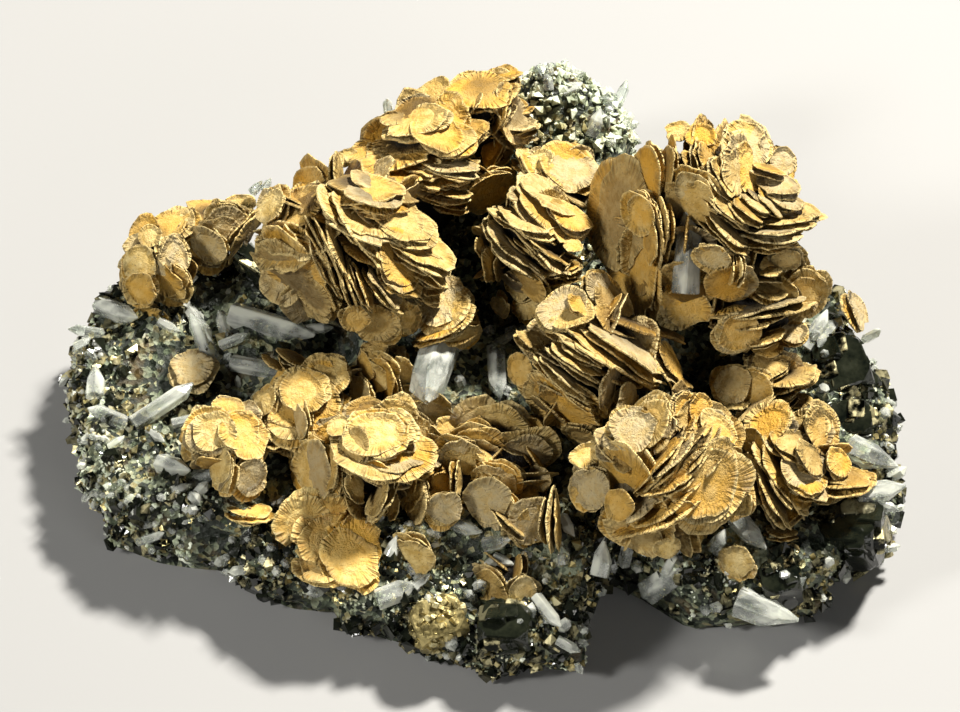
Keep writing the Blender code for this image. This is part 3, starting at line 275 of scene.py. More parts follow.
# Quartz prisms: the foot and the tip as seen, their heights over the matrix, and the width.
QUARTZ = (
    (-49.5, -9.8, 1.0, -40.5, -3.8, 3.0, 3.0), (-54.3, 7.3, 0.5, -49.0, 5.2, 2.5, 3.4),
    (-46.0, 9.4, 1.0, -39.8, 11.2, 4.0, 3.2), (-38.0, -1.5, 0.0, -41.2, 6.5, 4.0, 2.9),
    (-36.2, 2.4, 0.0, -37.2, 6.8, 2.5, 2.2), (-35.5, 5.9, 1.5, -23.2, 2.4, 3.5, 4.6),
    (-35.5, -1.0, 0.5, -25.8, -2.9, 1.5, 2.9), (-45.5, -15.4, 1.0, -41.4, -16.6, 3.0, 3.3),
    (-48.9, -26.6, 0.0, -45.0, -25.3, 0.8, 1.5), (-54.0, 3.2, 1.0, -59.0, 4.0, 1.5, 1.8),
    (-50.5, -9.6, 0.0, -56.3, -7.2, 1.0, 2.4), (-55.0, -5.8, 0.5, -54.6, -0.8, 0.5, 3.2),
    (-5.2, 2.4, 2.0, -8.5, -7.0, 9.0, 6.4), (2.2, 1.0, 0.5, 2.5, -6.2, 2.5, 3.3),
    (29.4, 9.0, 18.5, 30.2, 21.8, 28.0, 5.2), (46.3, 1.0, 0.0, 50.0, 6.8, 3.0, 2.7),
    (24.0, -33.6, 0.5, 31.6, -28.6, 2.0, 4.4), (36.6, -23.0, 2.0, 40.8, -28.0, 2.5, 3.5),
    (36.8, -34.8, 0.5, 46.0, -38.4, 1.0, 5.0), (52.6, -13.0, 0.5, 60.0, -16.4, 2.0, 4.6),
    (53.6, -19.9, 1.5, 61.4, -18.8, 2.5, 3.7), (-19.4, -25.0, 0.5, -17.0, -21.3, 2.5, 2.8),
    (-14.8, -34.8, 0.5, -8.6, -32.6, 1.0, 3.4), (17.0, -31.5, 0.5, 18.2, -26.0, 2.5, 3.2),
    (17.0, 33.5, -1.0, 19.0, 38.5, 1.5, 3.8),
)
PRISM_SIDES = 6
TIP_SHARE = 0.85
TIP_OFFSET = 0.12
SHORTEST_SHAFT = 0.3
DEEPEST_TIP = 1.5
HIGHEST_TIP = 12.0

# Dark sulphide crystals: across, up, height over the matrix, width, depth, height and turn.
SULPHIDES = {
    "sphalerite_right_upper": (51.0, -3.0, 0.5, 10.0, 9.0, 8.0, 20),
    "sphalerite_right": (53.3, -10.0, 0.0, 6.5, 6.0, 6.0, 5),
    "sphalerite_right_lower": (53.4, -25.0, 0.5, 9.0, 8.5, 11.0, -12),
    "sphalerite_front_right": (43.0, -32.5, 0.5, 6.0, 6.0, 8.0, 15),
    "pyrite_front": (-5.9, -38.6, 0.5, 8.0, 6.5, 6.5, 20),
    "sphalerite_front": (3.9, -39.2, 0.5, 8.0, 6.0, 6.0, -10),
    "sphalerite_blade_left": (-31.5, 10.0, 2.0, 3.6, 12.0, 4.0, 50),
}

CORNER_CUT = 0.32
SULPHIDE_SINK = 0.3
SULPHIDE_TILTS = ((14.0, "X"), (-9.0, "Y"))


# Quartz that is too small to be a solid of its own, set down the same way.
SMALL_QUARTZ = (
    (-32.5, 23.5, 0.0, -31.0, 25.0, 1.5, 1.6), (-30.8, 23.8, 0.0, -29.8, 25.4, 1.2, 1.4),
    (-44.0, -9.7, 0.5, -40.0, -8.7, 1.5, 1.6), (-47.5, -10.5, 0.5, -45.0, -12.5, 1.5, 1.5),
    (-41.0, -17.2, 0.5, -37.0, -17.0, 1.5, 1.9), (-44.0, -19.4, 0.5, -41.0, -18.4, 1.5, 1.7),
    (-42.5, 7.0, 0.5, -41.5, 9.3, 1.5, 2.2), (-46.0, 5.0, 0.5, -42.7, 3.3, 1.5, 1.6),
    (-41.5, 6.4, 0.0, -38.5, 2.0, 2.0, 2.4), (-19.0, -4.5, 0.5, -18.0, -2.5, 1.5, 1.9),
    (-19.5, -6.8, 0.5, -18.2, -5.2, 1.5, 1.7), (-12.8, -28.6, 0.5, -11.4, -25.4, 2.0, 2.6),
    (-3.8, -23.8, 0.5, 0.5, -25.5, 2.0, 2.6), (0.5, -27.0, 0.5, 4.8, -26.2, 2.0, 2.4),
    (2.0, -28.8, 0.5, 5.0, -30.0, 1.5, 2.0), (8.0, -34.5, 0.5, 11.5, -39.0, 1.5, 2.2),
    (11.0, -40.5, 0.0, 14.5, -42.5, 1.0, 1.7), (11.8, -23.0, 0.5, 13.4, -26.0, 2.0, 1.9),
    (12.0, -29.8, 0.5, 11.6, -26.6, 2.0, 2.2), (35.8, 0.2, 1.0, 43.0, 1.4, 2.5, 2.4),
    (50.5, 4.5, 0.5, 48.0, 1.2, 2.0, 1.8), (55.0, 2.4, 0.5, 57.2, 3.6, 1.5, 1.6),
    (33.0, -28.0, 0.5, 35.4, -24.6, 2.0, 2.4), (26.4, -31.6, 0.5, 28.8, -27.0, 2.0, 2.2),
    (20.6, -29.6, 0.5, 21.4, -26.0, 2.0, 2.4), (9.8, 38.0, 0.0, 9.6, 41.2, 1.5, 1.8),
    (11.6, 37.6, 0.0, 15.0, 39.0, 1.5, 2.2), (-13.0, 34.6, 0.0, -13.4, 37.0, 1.5, 1.6),
    (-18.9, -24.0, 0.5, -17.4, -21.4, 2.0, 1.8), (56.0, -20.5, 0.5, 60.0, -22.4, 1.5, 1.8),
    (-58.0, 1.4, 0.5, -55.4, 2.6, 1.0, 1.3), (-53.0, -13.0, 0.5, -50.6, -11.4, 1.5, 1.4),
    (-37.0, 1.6, 0.5, -33.0, 3.2, 2.5, 1.8), (-25.0, 3.8, 0.5, -20.6, 4.0, 2.5, 1.8),
    (2.0, 1.6, 1.0, 5.4, 3.6, 2.0, 1.6), (-7.0, 1.9, 0.5, -1.4, 1.2, 2.0, 2.2),
    (15.8, 31.4, 0.0, 17.6, 35.6, 2.5, 2.6), (19.6, 36.0, 0.0, 21.2, 39.6, 1.5, 1.8),
    (44.0, -33.4, 0.5, 46.8, -31.6, 1.5, 1.6), (-9.4, -33.2, 0.5, -6.8, -31.0, 1.5, 1.8),
)

CORE_SHARE = 0.82


def seen_point(across, up, near):
    """The point seen at (across, up), this far in front of the view plane."""
    shrink = 1.0 - near / EYE_DISTANCE
    point = RIGHT * across * shrink + UPWARD * up * shrink + TOWARD * near
    return point + Vector((0.0, BASE_SHIFT, 0.0))


def near_of_height(up, height):
    """How near the eye a point seen this far up is, at this height over the base."""
    return (height - up * math.cos(SIGHT_ANGLE)) / math.sin(SIGHT_ANGLE)


CORNERS = sorted((math.atan2(y - OUTLINE_CENTRE[1], x - OUTLINE_CENTRE[0]),
                  math.hypot(x - OUTLINE_CENTRE[0], y - OUTLINE_CENTRE[1])) for x, y in OUTLINE)
CORNER_ANGLES = [angle for angle, _ in CORNERS]
CORNER_RADII = [radius for _, radius in CORNERS]


def outline_radius(angle):
    """How far the matrix reaches from its middle, this way."""
    return float(np.interp(angle, CORNER_ANGLES, CORNER_RADII, period=math.tau))


def matrix_top(x, y):
    """The height of the matrix there, falling off steeply past its outline."""
    height = MATRIX_HEIGHT
    for across, back, half_width, half_depth, rise in RISES:
        height += rise * math.exp(-((x - across) / half_width) ** 2 - ((y - back) / half_depth) ** 2)
    for size, length, layer in TOP_BUMPS:
        height += size * noise.noise(Vector((x, y, layer)) / length)
    over_x, over_y = x - OUTLINE_CENTRE[0], y - OUTLINE_CENTRE[1]
    past = math.hypot(over_x, over_y) - outline_radius(math.atan2(over_y, over_x))
    return height - EDGE_FALL * max(0.0, past)


def seat(across, up, lift):
    """How near the eye the sight line comes this close to the matrix, or passes closest to it."""
    best_near, best_height = 0.0, math.inf
    for step in range(SIGHT_STEPS):
        near = SIGHT_START - SIGHT_STEP * step
        point = seen_point(across, up, near)
        height = point.z - matrix_top(point.x, point.y - BASE_SHIFT)
        if height < best_height:
            best_near, best_height = near, height
        if height <= lift:
            break
    return best_near


def lens_thickness(radius):
    return LENS_EDGE + LENS_SHARE * radius


def petal_frame(across, up, near, lean, tilt):
    """Where a crystal lies, with its face square to its own Z axis."""
    lean, tilt = math.radians(lean), math.radians(tilt)
    side = RIGHT * math.cos(lean) + UPWARD * math.sin(lean)
    facing = TOWARD * math.cos(tilt) + side * math.sin(tilt)
    turn = facing.to_track_quat("Z", "Y").to_matrix().to_4x4()
    return Matrix.Translation(seen_point(across, up, near)) @ turn


def petal_near(group, across, up, radius, tilt, lift):
    """How near the eye a crystal's middle is, for its rim to reach the group's round front."""
    (mid_across, mid_up), height, ball, flat = group[:4]
    off = min(math.hypot(across - mid_across, up - mid_up), FURTHEST_OFF * ball)
    front = flat * math.sqrt(ball ** 2 - off ** 2)
    slope = (up - mid_up) * (flat - 1.0) * math.cos(SIGHT_ANGLE) / math.sin(SIGHT_ANGLE)
    return near_of_height(mid_up, height) + slope + front - radius * math.sin(math.radians(tilt)) + lift


def group_middle(group):
    (across, up), height = group[:2]
    return seen_point(across, up, near_of_height(up, height))


def root_places(group):
    """Where a group's root lies and its shape, and the same for the foot that joins it to the matrix."""
    flat, root = group[3:5]
    middle = group_middle(group)
    frame = Matrix.Translation(middle) @ TOWARD.to_track_quat("Z", "Y").to_matrix().to_4x4()
    shape = Matrix.Diagonal((root, root, root * max(flat, FLATTEST_ROOT), 1.0))
    half = 0.5 * (middle.z - matrix_top(middle.x, middle.y - BASE_SHIFT)) + FOOT_DEPTH
    foot_frame = Matrix.Translation(middle + Vector((0.0, 0.0, FOOT_DEPTH - half)))
    return frame, shape, foot_frame, Matrix.Diagonal((FOOT_SHARE * root, FOOT_SHARE * root, half, 1.0))


def prism_line(row):
    """A prism's foot and the way to its tip. A tip that is seen past the edge of the matrix stays
    about as high as the foot, instead of dropping to what lies behind."""
    foot_across, foot_up, foot_lift, tip_across, tip_up, tip_lift = row[:6]
    foot_near = seat(foot_across, foot_up, foot_lift)
    level = foot_near - (tip_up - foot_up) / math.tan(SIGHT_ANGLE)
    near = min(max(seat(tip_across, tip_up, tip_lift), level - DEEPEST_TIP), level + HIGHEST_TIP)
    foot = seen_point(foot_across, foot_up, foot_near)
    return foot, seen_point(tip_across, tip_up, near) - foot


class Pile:
    """Points and faces of one piece, gathered before its mesh is made."""

    def __init__(self):
        self.points, self.faces, self.spokes = [], [], []
        self.tones, self.rings, self.hues = [], [], []
        self.count = 0
        self.group = None

    def add(self, points, faces, spokes=None, tones=0.5, rings=0.0, hue=0.5):
        size = len(points)
        self.hues.append(np.full(size, float(hue)))
        self.points.append(points)
        self.faces.append(np.asarray(faces, int) + self.count)
        self.spokes.append(points if spokes is None else spokes)
        self.tones.append(np.broadcast_to(np.asarray(tones, float), (size,)))
        self.rings.append(np.broadcast_to(np.asarray(rings, float), (size,)))
        self.count += size

    def object(self, name, material, smooth=True, sharp=32.0):
        """A mesh of these faces, each of which has four corners, or three and a repeated first."""
        points = np.concatenate(self.points) * MM
        faces = [face[:3] if face[3] == face[0] else face for part in self.faces for face in part.tolist()]
        mesh = bpy.data.meshes.new(name)
        mesh.from_pydata(points.tolist(), [], faces)
        for key, kind, values in (("spoke", "FLOAT_VECTOR", self.spokes), ("local", "FLOAT_VECTOR", self.points), ("tone", "FLOAT", self.tones),
                                  ("ring", "FLOAT", self.rings), ("hue", "FLOAT", self.hues)):
            layer = mesh.attributes.new(key, kind, "POINT")
            field = "vector" if kind == "FLOAT_VECTOR" else "value"
            layer.data.foreach_set(field, np.concatenate(values).astype(np.float32).ravel())
        mesh.materials.append(material)
        mesh.update()
        if smooth:
            mesh.shade_smooth()
            mesh.set_sharp_from_angle(angle=math.radians(sharp))
        obj = bpy.data.objects.new(name, mesh)
        bpy.context.scene.collection.objects.link(obj)
        return obj


def placed(frame_matrix, points):
    turn = np.array(frame_matrix)
    return points @ turn[:3, :3].T + turn[:3, 3]


def painted_depth_shade(group, points):
    """Painted shade: how far a group's crystals are darkened deep inside it, where shade falls between them, and left
    at their own tone where they stand out.
    """
    if group is None:
        return 1.0
    off = points - np.array(group_middle(group))
    toward = off @ np.array(TOWARD)
    beside = (off ** 2).sum(axis=1) - toward ** 2
    share = np.sqrt(np.maximum(beside, 0.0) + (toward / group[3]) ** 2) / group[2]
    rise = np.clip((share - 0.5) / 0.36, 0.0, 1.0)
    return 0.04 + 0.96 * rise * rise * (3.0 - 2.0 * rise)


FINE_RINGS = np.array((0.5, 0.8, 0.94, 1.0))
COARSE_RINGS = np.array((0.74, 1.0))
TERRACED_TILT = 56


def add_lamella(pile, place, radius, thickness, seed, tone, coarse=False):
    """One siderite lamella: a thin lens whose rim is stepped where its many crystals end."""
    draw = np.random.default_rng(1000 + seed)
    shares = COARSE_RINGS if coarse else FINE_RINGS
    count = round(min(58, 14 + 5.4 * radius) * (0.65 if coarse else 1.0))
    angles = (np.arange(count) + draw.uniform(-0.3, 0.3, count)) / count * math.tau
    low = (0.98 + 0.07 * np.sin(2.0 * angles + seed) + 0.05 * np.sin(3.0 * angles + 1.7 * seed)
           + 0.03 * np.sin(5.0 * angles + 2.3 * seed))
    blades = max(6, round(1.7 * radius))
    edges = np.sort(draw.uniform(0, math.tau, blades))
    blade = np.searchsorted(edges, angles % math.tau) % blades
    teeth = draw.uniform(-0.5, 0.5, count) * min(0.05, 0.22 / radius)
    reach = low * (1.0 + draw.uniform(-0.17, 0.06, blades)[blade] + teeth)
    step = draw.uniform(-1.0, 1.0, blades)[blade] * 0.16 + draw.uniform(-0.06, 0.06, count)
    warp, phase = draw.uniform(0.02, 0.07) * radius, draw.uniform(0, math.tau)
    share = shares[:, None]
    out = share * radius * (1.0 + (reach - 1.0) * share ** 2)
    x, y = out * np.cos(angles), out * np.sin(angles)
    bend = warp * share ** 2 * np.sin(2.0 * angles + phase)
    half = 0.5 * thickness * (0.8 * (1.0 - share ** 2) ** 0.8 + 0.22)
    terrace = 0.03 * np.sin(out * 1.1 + seed + 9.0 * step) * (share < 0.99)
    rough = draw.uniform(-0.05, 0.05, out.shape)
    top = bend + half + step * share ** 2 + terrace + rough
    bottom = bend - half + step * share ** 2 - terrace - rough
    grid_top = np.stack([x, y, top], axis=-1).reshape(-1, 3)
    grid_bottom = np.stack([x, y, bottom], axis=-1).reshape(-1, 3)
    middle = np.array([[0.0, 0.0, 0.58 * thickness], [0.0, 0.0, -0.58 * thickness]])
    rings, total = len(shares), len(shares) * count
    here = np.arange(count)
    after = (here + 1) % count
    faces = []
    for ring in range(rings - 1):
        a, b = ring * count, (ring + 1) * count
        faces.append(np.stack([a + here, b + here, b + after, a + after], axis=1))
        faces.append(np.stack([a + after, b + after, b + here, a + here], axis=1) + total)
    last = (rings - 1) * count
    faces.append(np.stack([last + here, total + last + here, total + last + after, last + after], axis=1))
    faces.append(np.stack([0 * here + 2 * total, here, after, 0 * here + 2 * total], axis=1))
    faces.append(np.stack([0 * here + 2 * total + 1, total + after, total + here, 0 * here + 2 * total + 1],
                          axis=1))
    own = seed * 3.7 % 50
    spoke = np.stack([np.cos(angles) * radius, np.sin(angles) * radius, 0 * angles + own], axis=1)
    spokes = np.concatenate([np.tile(spoke, (2 * rings, 1)), [[0, 0, own]] * 2])
    shares = np.repeat(shares, count)
    shares = np.concatenate([shares, shares, [0, 0]])
    points = placed(place, np.concatenate([grid_top, grid_bottom, middle]))
    # Painted shade: a lamella seen edge-on is darkened inside its rim, where the gaps between stacked rims are in
    # shade, and the painted depth shade of its group is multiplied in.
    edge_on = min(1.0, max(0.0, 1.3 - 1.6 * abs(place.col[2].to_3d().dot(TOWARD))))
    stain_and_painted_shade = 1.0 - 0.75 * edge_on * np.clip((0.93 - shares) / 0.35, 0.0, 1.0)
    pile.add(points, np.concatenate(faces), spokes, tone * stain_and_painted_shade * painted_depth_shade(pile.group, points), shares,
             draw.uniform(0, 1))


def tilted(x_shift, y_shift, z_shift, turn_x, turn_y):
    return (Matrix.Translation((x_shift, y_shift, z_shift)) @ Matrix.Rotation(turn_x, 4, "X")
            @ Matrix.Rotation(turn_y, 4, "Y"))


def add_bundle(pile, place, radius, seed, tone, lean=None, coarse=False):
    """A crystal of several lamellae that lie against each other, a little out of step. The nearer
    ones are set back from the side that the crystal leans to, so that the rims below show there."""
    draw = np.random.default_rng(7000 + seed)
    thickness = 0.6 * lens_thickness(radius)
    add_lamella(pile, place, radius, thickness, seed, tone, coarse)
    sides = (-1, 1) if radius > 3.4 and not coarse else (draw.choice((-1, 1)),) if radius > 2.2 or coarse else ()
    for side in sides:
        apart = side * (0.45 * thickness + draw.uniform(0.35, 0.7))
        slide = draw.uniform(-0.06, 0.06, 2) * radius
        if lean is not None:
            side_way = RIGHT * math.cos(math.radians(lean)) + UPWARD * math.sin(math.radians(lean))
            local = place.to_3x3().inverted() @ side_way
            slide = slide - np.array(local.xy.normalized()) * 0.17 * radius * side
        turn = draw.uniform(-0.07, 0.07, 2)
        shift = tilted(slide[0], slide[1], apart, turn[0], turn[1])
        add_lamella(pile, place @ shift, radius * draw.uniform(0.82, 0.97), 0.75 * thickness,
                    seed + 300 * side, tone + draw.uniform(-0.12, 0.08), coarse)


def add_terraces(pile, place, radius, inward, seed, tone):
    """Two more lamellae on the face of a crystal that is turned to the eye. Each is set back to the
    inside of its group, so that the rims below show as steps round the outside."""
    draw = np.random.default_rng(2000 + seed)
    side = 1.0 if place.col[2].to_3d().dot(TOWARD) > 0.0 else -1.0
    local = place.to_3x3().inverted() @ (RIGHT * inward[0] + UPWARD * inward[1])
    way = math.atan2(local.y, local.x) + draw.uniform(-0.5, 0.5)
    height = 0.25 * lens_thickness(radius)
    for step in range(2):
        size = radius * (0.97 - 0.07 * step) * draw.uniform(0.95, 1.03)
        slide = (0.17 + 0.17 * step) * radius
        height += draw.uniform(0.35, 0.55)
        turn = draw.uniform(-0.09, 0.09, 2)
        shift = tilted(slide * math.cos(way), slide * math.sin(way), side * height, turn[0], turn[1])
        add_lamella(pile, place @ shift, size, 0.4 * lens_thickness(size), seed + 50 + step,
                    tone * draw.uniform(0.75, 1.1), coarse=True)


def add_core(pile, group, seed, tone):
    """The root that a group's crystals spread from, rough and brown; at a very low tone it is painted shade, nearly
    black.
    """
    root_frame, root_shape, foot_frame, foot_shape = root_places(group)
    for place, shape, share in ((root_frame, root_shape, CORE_SHARE), (foot_frame, foot_shape, 1.0)):
        bm = bmesh.new()
        bmesh.ops.create_icosphere(bm, subdivisions=4, radius=share)
        for vert in bm.verts:
            bump = noise.noise(vert.co * 3.0 + Vector((seed, 0, 0))) + 0.5 * noise.noise(vert.co * 9.0)
            vert.co *= 1.0 + 0.12 * bump
        points = placed(place @ shape, np.array([vert.co for vert in bm.verts]))
        faces = [[vert.index for vert in face.verts] + [face.verts[0].index] for face in bm.faces]
        bm.free()
        pile.add(points, faces, tones=tone)


def clear_of_matrix(point, margin=0.0):
    return point.z > matrix_top(point.x, point.y - BASE_SHIFT) + margin


def add_between(pile, group, seed):
    """Small crystals that fill the gaps in front, each turned about as the nearest large one is."""
    (mid_across, mid_up), _, ball = group[:3]
    draw = np.random.default_rng(9000 + seed)
    for index in range(round(1.5 * ball)):
        angle, off = draw.uniform(0, math.tau), ball * 0.72 * math.sqrt(draw.uniform(0, 1))
        across, up = mid_across + off * math.cos(angle), mid_up + off * math.sin(angle)
        nearest = min(group[5], key=lambda petal: math.hypot(petal[0] - across, petal[1] - up))
        radius = draw.uniform(0.16, 0.3) * ball + 0.6
        tilt = min(86.0, nearest[4] + draw.uniform(-6, 14))
        near = petal_near(group, across, up, radius, tilt, -draw.uniform(1.4, 3.0))
        place = petal_frame(across, up, near, nearest[3] + draw.uniform(-14, 14), tilt)
        add_lamella(pile, place, radius, 0.6 * lens_thickness(radius), seed + 900 + index, draw.uniform(0.15, 0.6))


def add_far_side(pile, group, seed):
    """The crystals round the back and the sides of a group, which spread from the same root."""
    ball, flat = group[2], group[3]
    middle = group_middle(group)
    draw = np.random.default_rng(4000 + seed)
    count = round(0.42 * ball ** 1.75)
    for index in range(count):
        z = 1.0 - 2.0 * (index + 0.5) / count
        turn = 2.39996 * index
        way = Vector((math.sqrt(1.0 - z * z) * math.cos(turn), math.sqrt(1.0 - z * z) * math.sin(turn), z))
        if way.dot(TOWARD) > 0.22 or way.z < -0.8:
            continue
        radius = ball * draw.uniform(0.36, 0.52)
        squeeze = 1.0 - (1.0 - flat) * abs(way.dot(TOWARD))
        centre = middle + way * (ball * squeeze - 0.92 * radius)
        if not clear_of_matrix(centre, -1.5):
            continue
        across = way.cross(Vector(draw.normal(size=3)).normalized()).normalized()
        facing = (across + 0.35 * way * draw.uniform(-1, 1)).normalized()
        place = Matrix.Translation(centre) @ facing.to_track_quat("Z", "Y").to_matrix().to_4x4()
        add_bundle(pile, place, radius, seed + 200 + index, draw.uniform(0.3, 0.75), coarse=True)


def add_group(pile, group, seed, plain_unshaded):
    """A group's crystals with a smaller one tucked behind each, and the far side that isn't seen."""
    # Painted shade: unless the group is plain and unshaded, its crystals are darkened deep inside it and its root is
    # made nearly black, so that the gaps between them read as shadow.
    pile.group = None if plain_unshaded else group
    add_core(pile, group, seed, 0.6 if plain_unshaded else 0.02)
    draw = np.random.default_rng(5000 + seed)
    for index, (across, up, radius, lean, tilt, lift) in enumerate(group[5]):
        near = petal_near(group, across, up, radius, tilt, lift)
        tone = draw.uniform(0.42, 0.95)
        place = petal_frame(across, up, near, lean, tilt)
        add_bundle(pile, place, radius, seed + index, tone, lean)
        if tilt < TERRACED_TILT and radius > 2.8 and not plain_unshaded:
            inward = (group[0][0] - across, group[0][1] - up)
            add_terraces(pile, place, radius, inward, seed + index, tone)
        small = radius * draw.uniform(0.6, 0.85)
        slide = draw.uniform(-0.45, 0.45, 2) * radius
        lean_now, tilt_now = lean + draw.uniform(-16, 16), min(84.0, tilt + draw.uniform(-8, 16))
        near = petal_near(group, across + slide[0], up + slide[1], small, tilt_now, lift - draw.uniform(1.2, 2.6))
        place = petal_frame(across + slide[0], up + slide[1], near, lean_now, tilt_now)
        add_lamella(pile, place, small, 0.6 * lens_thickness(small), seed + 600 + index,
                    draw.uniform(0.2, 0.6))
    if not plain_unshaded:
        add_between(pile, group, seed)
    add_far_side(pile, group, seed)


def finish_piece(obj, slot, *nodes):
    if nodes:
        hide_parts(*nodes)
    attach(obj, "root")


# Materials --------------------------------------------------------------------------------------


class Tree:
    """A material's nodes, made and linked in one call each."""

    def __init__(self, name, roughness, **sockets):
        self.material = bpy.data.materials.new(name)
        self.material.use_nodes = True
        self.nodes, self.links = self.material.node_tree.nodes, self.material.node_tree.links
        self.shader = self.nodes["Principled BSDF"]
        self.shader.inputs["Roughness"].default_value = roughness
        for key, value in sockets.items():
            self.shader.inputs[key.replace("_", " ")].default_value = value

    def attribute(self, name, output):
        node = self.nodes.new("ShaderNodeAttribute")
        node.attribute_name = name
        return node.outputs[output]

    def position(self):
        return self.nodes.new("ShaderNodeTexCoord").outputs["Object"]

    def stretched(self, vector, scale):
        node = self.nodes.new("ShaderNodeVectorMath")
        node.operation = "MULTIPLY"
        node.inputs[1].default_value = scale
        self.links.new(vector, node.inputs[0])
        return node.outputs[0]

    def noise(self, vector, scale, detail=3.0, rough=0.55, output="Fac"):
        node = self.nodes.new("ShaderNodeTexNoise")
        node.inputs["Scale"].default_value = scale
        node.inputs["Detail"].default_value = detail
        node.inputs["Roughness"].default_value = rough
        self.links.new(vector, node.inputs["Vector"])
        return node.outputs[output]

    def cells(self, vector, scale, feature="F1", output="Color"):
        node = self.nodes.new("ShaderNodeTexVoronoi")
        node.feature = feature
        node.inputs["Scale"].default_value = scale
        self.links.new(vector, node.inputs["Vector"])
        return node.outputs[output]

    def ramp(self, value, *stops, smooth=False):
        node = self.nodes.new("ShaderNodeValToRGB")
        node.color_ramp.interpolation = "EASE" if smooth else "LINEAR"
        elements = node.color_ramp.elements
        while len(elements) < len(stops):
            elements.new(0.5)
        for element, (place, colour) in zip(elements, stops):
            element.position = place
            element.color = (*colour, 1.0) if isinstance(colour, tuple) else (colour, colour, colour, 1.0)
        self.links.new(value, node.inputs["Fac"])
        return node.outputs["Color"]

    def mix(self, factor, one, two, blend="MIX"):
        node = self.nodes.new("ShaderNodeMix")
        node.data_type = "RGBA"
        node.blend_type = blend
        for value, socket in ((factor, 0), (one, 6), (two, 7)):
            if isinstance(value, (int, float)):
                node.inputs[socket].default_value = value
            elif isinstance(value, tuple):
                node.inputs[socket].default_value = (*value, 1.0)
            else:
                self.links.new(value, node.inputs[socket])
        return node.outputs[2]

    def maths(self, operation, one, two):
        node = self.nodes.new("ShaderNodeMath")
        node.operation = operation
        for value, socket in ((one, 0), (two, 1)):
            if isinstance(value, (int, float)):
                node.inputs[socket].default_value = value
            else:
                self.links.new(value, node.inputs[socket])
        return node.outputs[0]

    def bump(self, height, strength, distance):
        node = self.nodes.new("ShaderNodeBump")
        node.inputs["Strength"].default_value = strength
        node.inputs["Distance"].default_value = distance
        self.links.new(height, node.inputs["Height"])
        self.links.new(node.outputs["Normal"], self.shader.inputs["Normal"])

    def set(self, key, value):
        self.links.new(value, self.shader.inputs[key])


def siderite_material(name, tan, pale, brown, orange, **sockets):
    """Ribs run out to the rim and growth lines run round it. Both are felt and seen."""
    tree = Tree(name, 0.6, **sockets)
    place = tree.position()
    spoke, ring = tree.attribute("spoke", "Vector"), tree.attribute("ring", "Fac")
    tone, hue = tree.attribute("tone", "Fac"), tree.attribute("hue", "Fac")
    wander = tree.noise(place, 420.0, 2.0)
    outer = tree.maths("MULTIPLY", tree.ramp(ring, (0.58, 0.0), (0.94, 1.0)), tree.ramp(wander, (0.35, 0.3), (0.6, 1.0)))
    ribs = tree.noise(spoke, 1.9, 1.0, 0.5)
    fine_ribs = tree.noise(spoke, 4.5, 1.0, 0.5)
    mottle = tree.noise(place, 640.0, 5.0, 0.65)
    patches = tree.noise(place, 170.0, 3.0)
    grain = tree.noise(place, 3400.0, 3.0, 0.7)
    # The tone is partly each lamella's own and partly painted shade; low tones turn the colour brown here.
    base = tree.mix(tree.ramp(tone, (0.05, 0.0), (0.4, 0.6), (0.9, 1.0)), brown, tan)
    base = tree.mix(tree.maths("MULTIPLY", tree.ramp(mottle, (0.4, 0.0), (0.62, 0.9)), tone), base, pale)
    ashy = tree.maths("MULTIPLY", tree.ramp(hue, (0.16, 0.85), (0.34, 0.0)), tree.ramp(mottle, (0.4, 0.4), (0.6, 1.0)))
    base = tree.mix(ashy, base, (0.5, 0.42, 0.25))
    warm = tree.maths("MULTIPLY", tree.ramp(patches, (0.42, 0.4), (0.62, 1.0)),
                      tree.ramp(hue, (0.5, 0.0), (0.8, 1.0)))
    base = tree.mix(warm, base, orange)
    base = tree.mix(tree.maths("MULTIPLY", tree.ramp(hue, (0.0, 0.55), (0.25, 0.0)), mottle), base, brown)
    base = tree.mix(tree.maths("MULTIPLY", tree.ramp(ribs, (0.4, 0.62), (0.5, 0.0)), outer), base, brown)
    base = tree.mix(tree.maths("MULTIPLY", tree.ramp(fine_ribs, (0.38, 0.4), (0.48, 0.0)), outer), base, brown)
    base = tree.mix(tree.maths("MULTIPLY", tree.ramp(ring, (0.9, 0.0), (0.99, 0.75)), tone), base, pale)
    base = tree.mix(tree.ramp(grain, (0.3, 0.8), (0.38, 0.0)), base, (0.03, 0.022, 0.012))
    # Painted shade: tones below 0.3 multiply the colour down toward black, and this is where the painted depth shade
    # and gap shade of the lamellae show.
    dark = tree.ramp(tone, (0.03, 0.03), (0.3, 1.0))
    tree.set("Base Color", tree.mix(1.0, base, dark, "MULTIPLY"))
    tree.set("Roughness", tree.ramp(mottle, (0.3, 0.75), (0.7, 0.5)))
    height = tree.maths("MULTIPLY", tree.maths("ADD", tree.maths("MULTIPLY", ribs, 5.0), fine_ribs), outer)
    height = tree.maths("ADD", height, tree.maths("MULTIPLY", mottle, 1.6))
    height = tree.maths("ADD", height, tree.maths("MULTIPLY", grain, 0.7))
    tree.bump(height, 0.9, 0.0005)
    return tree.material


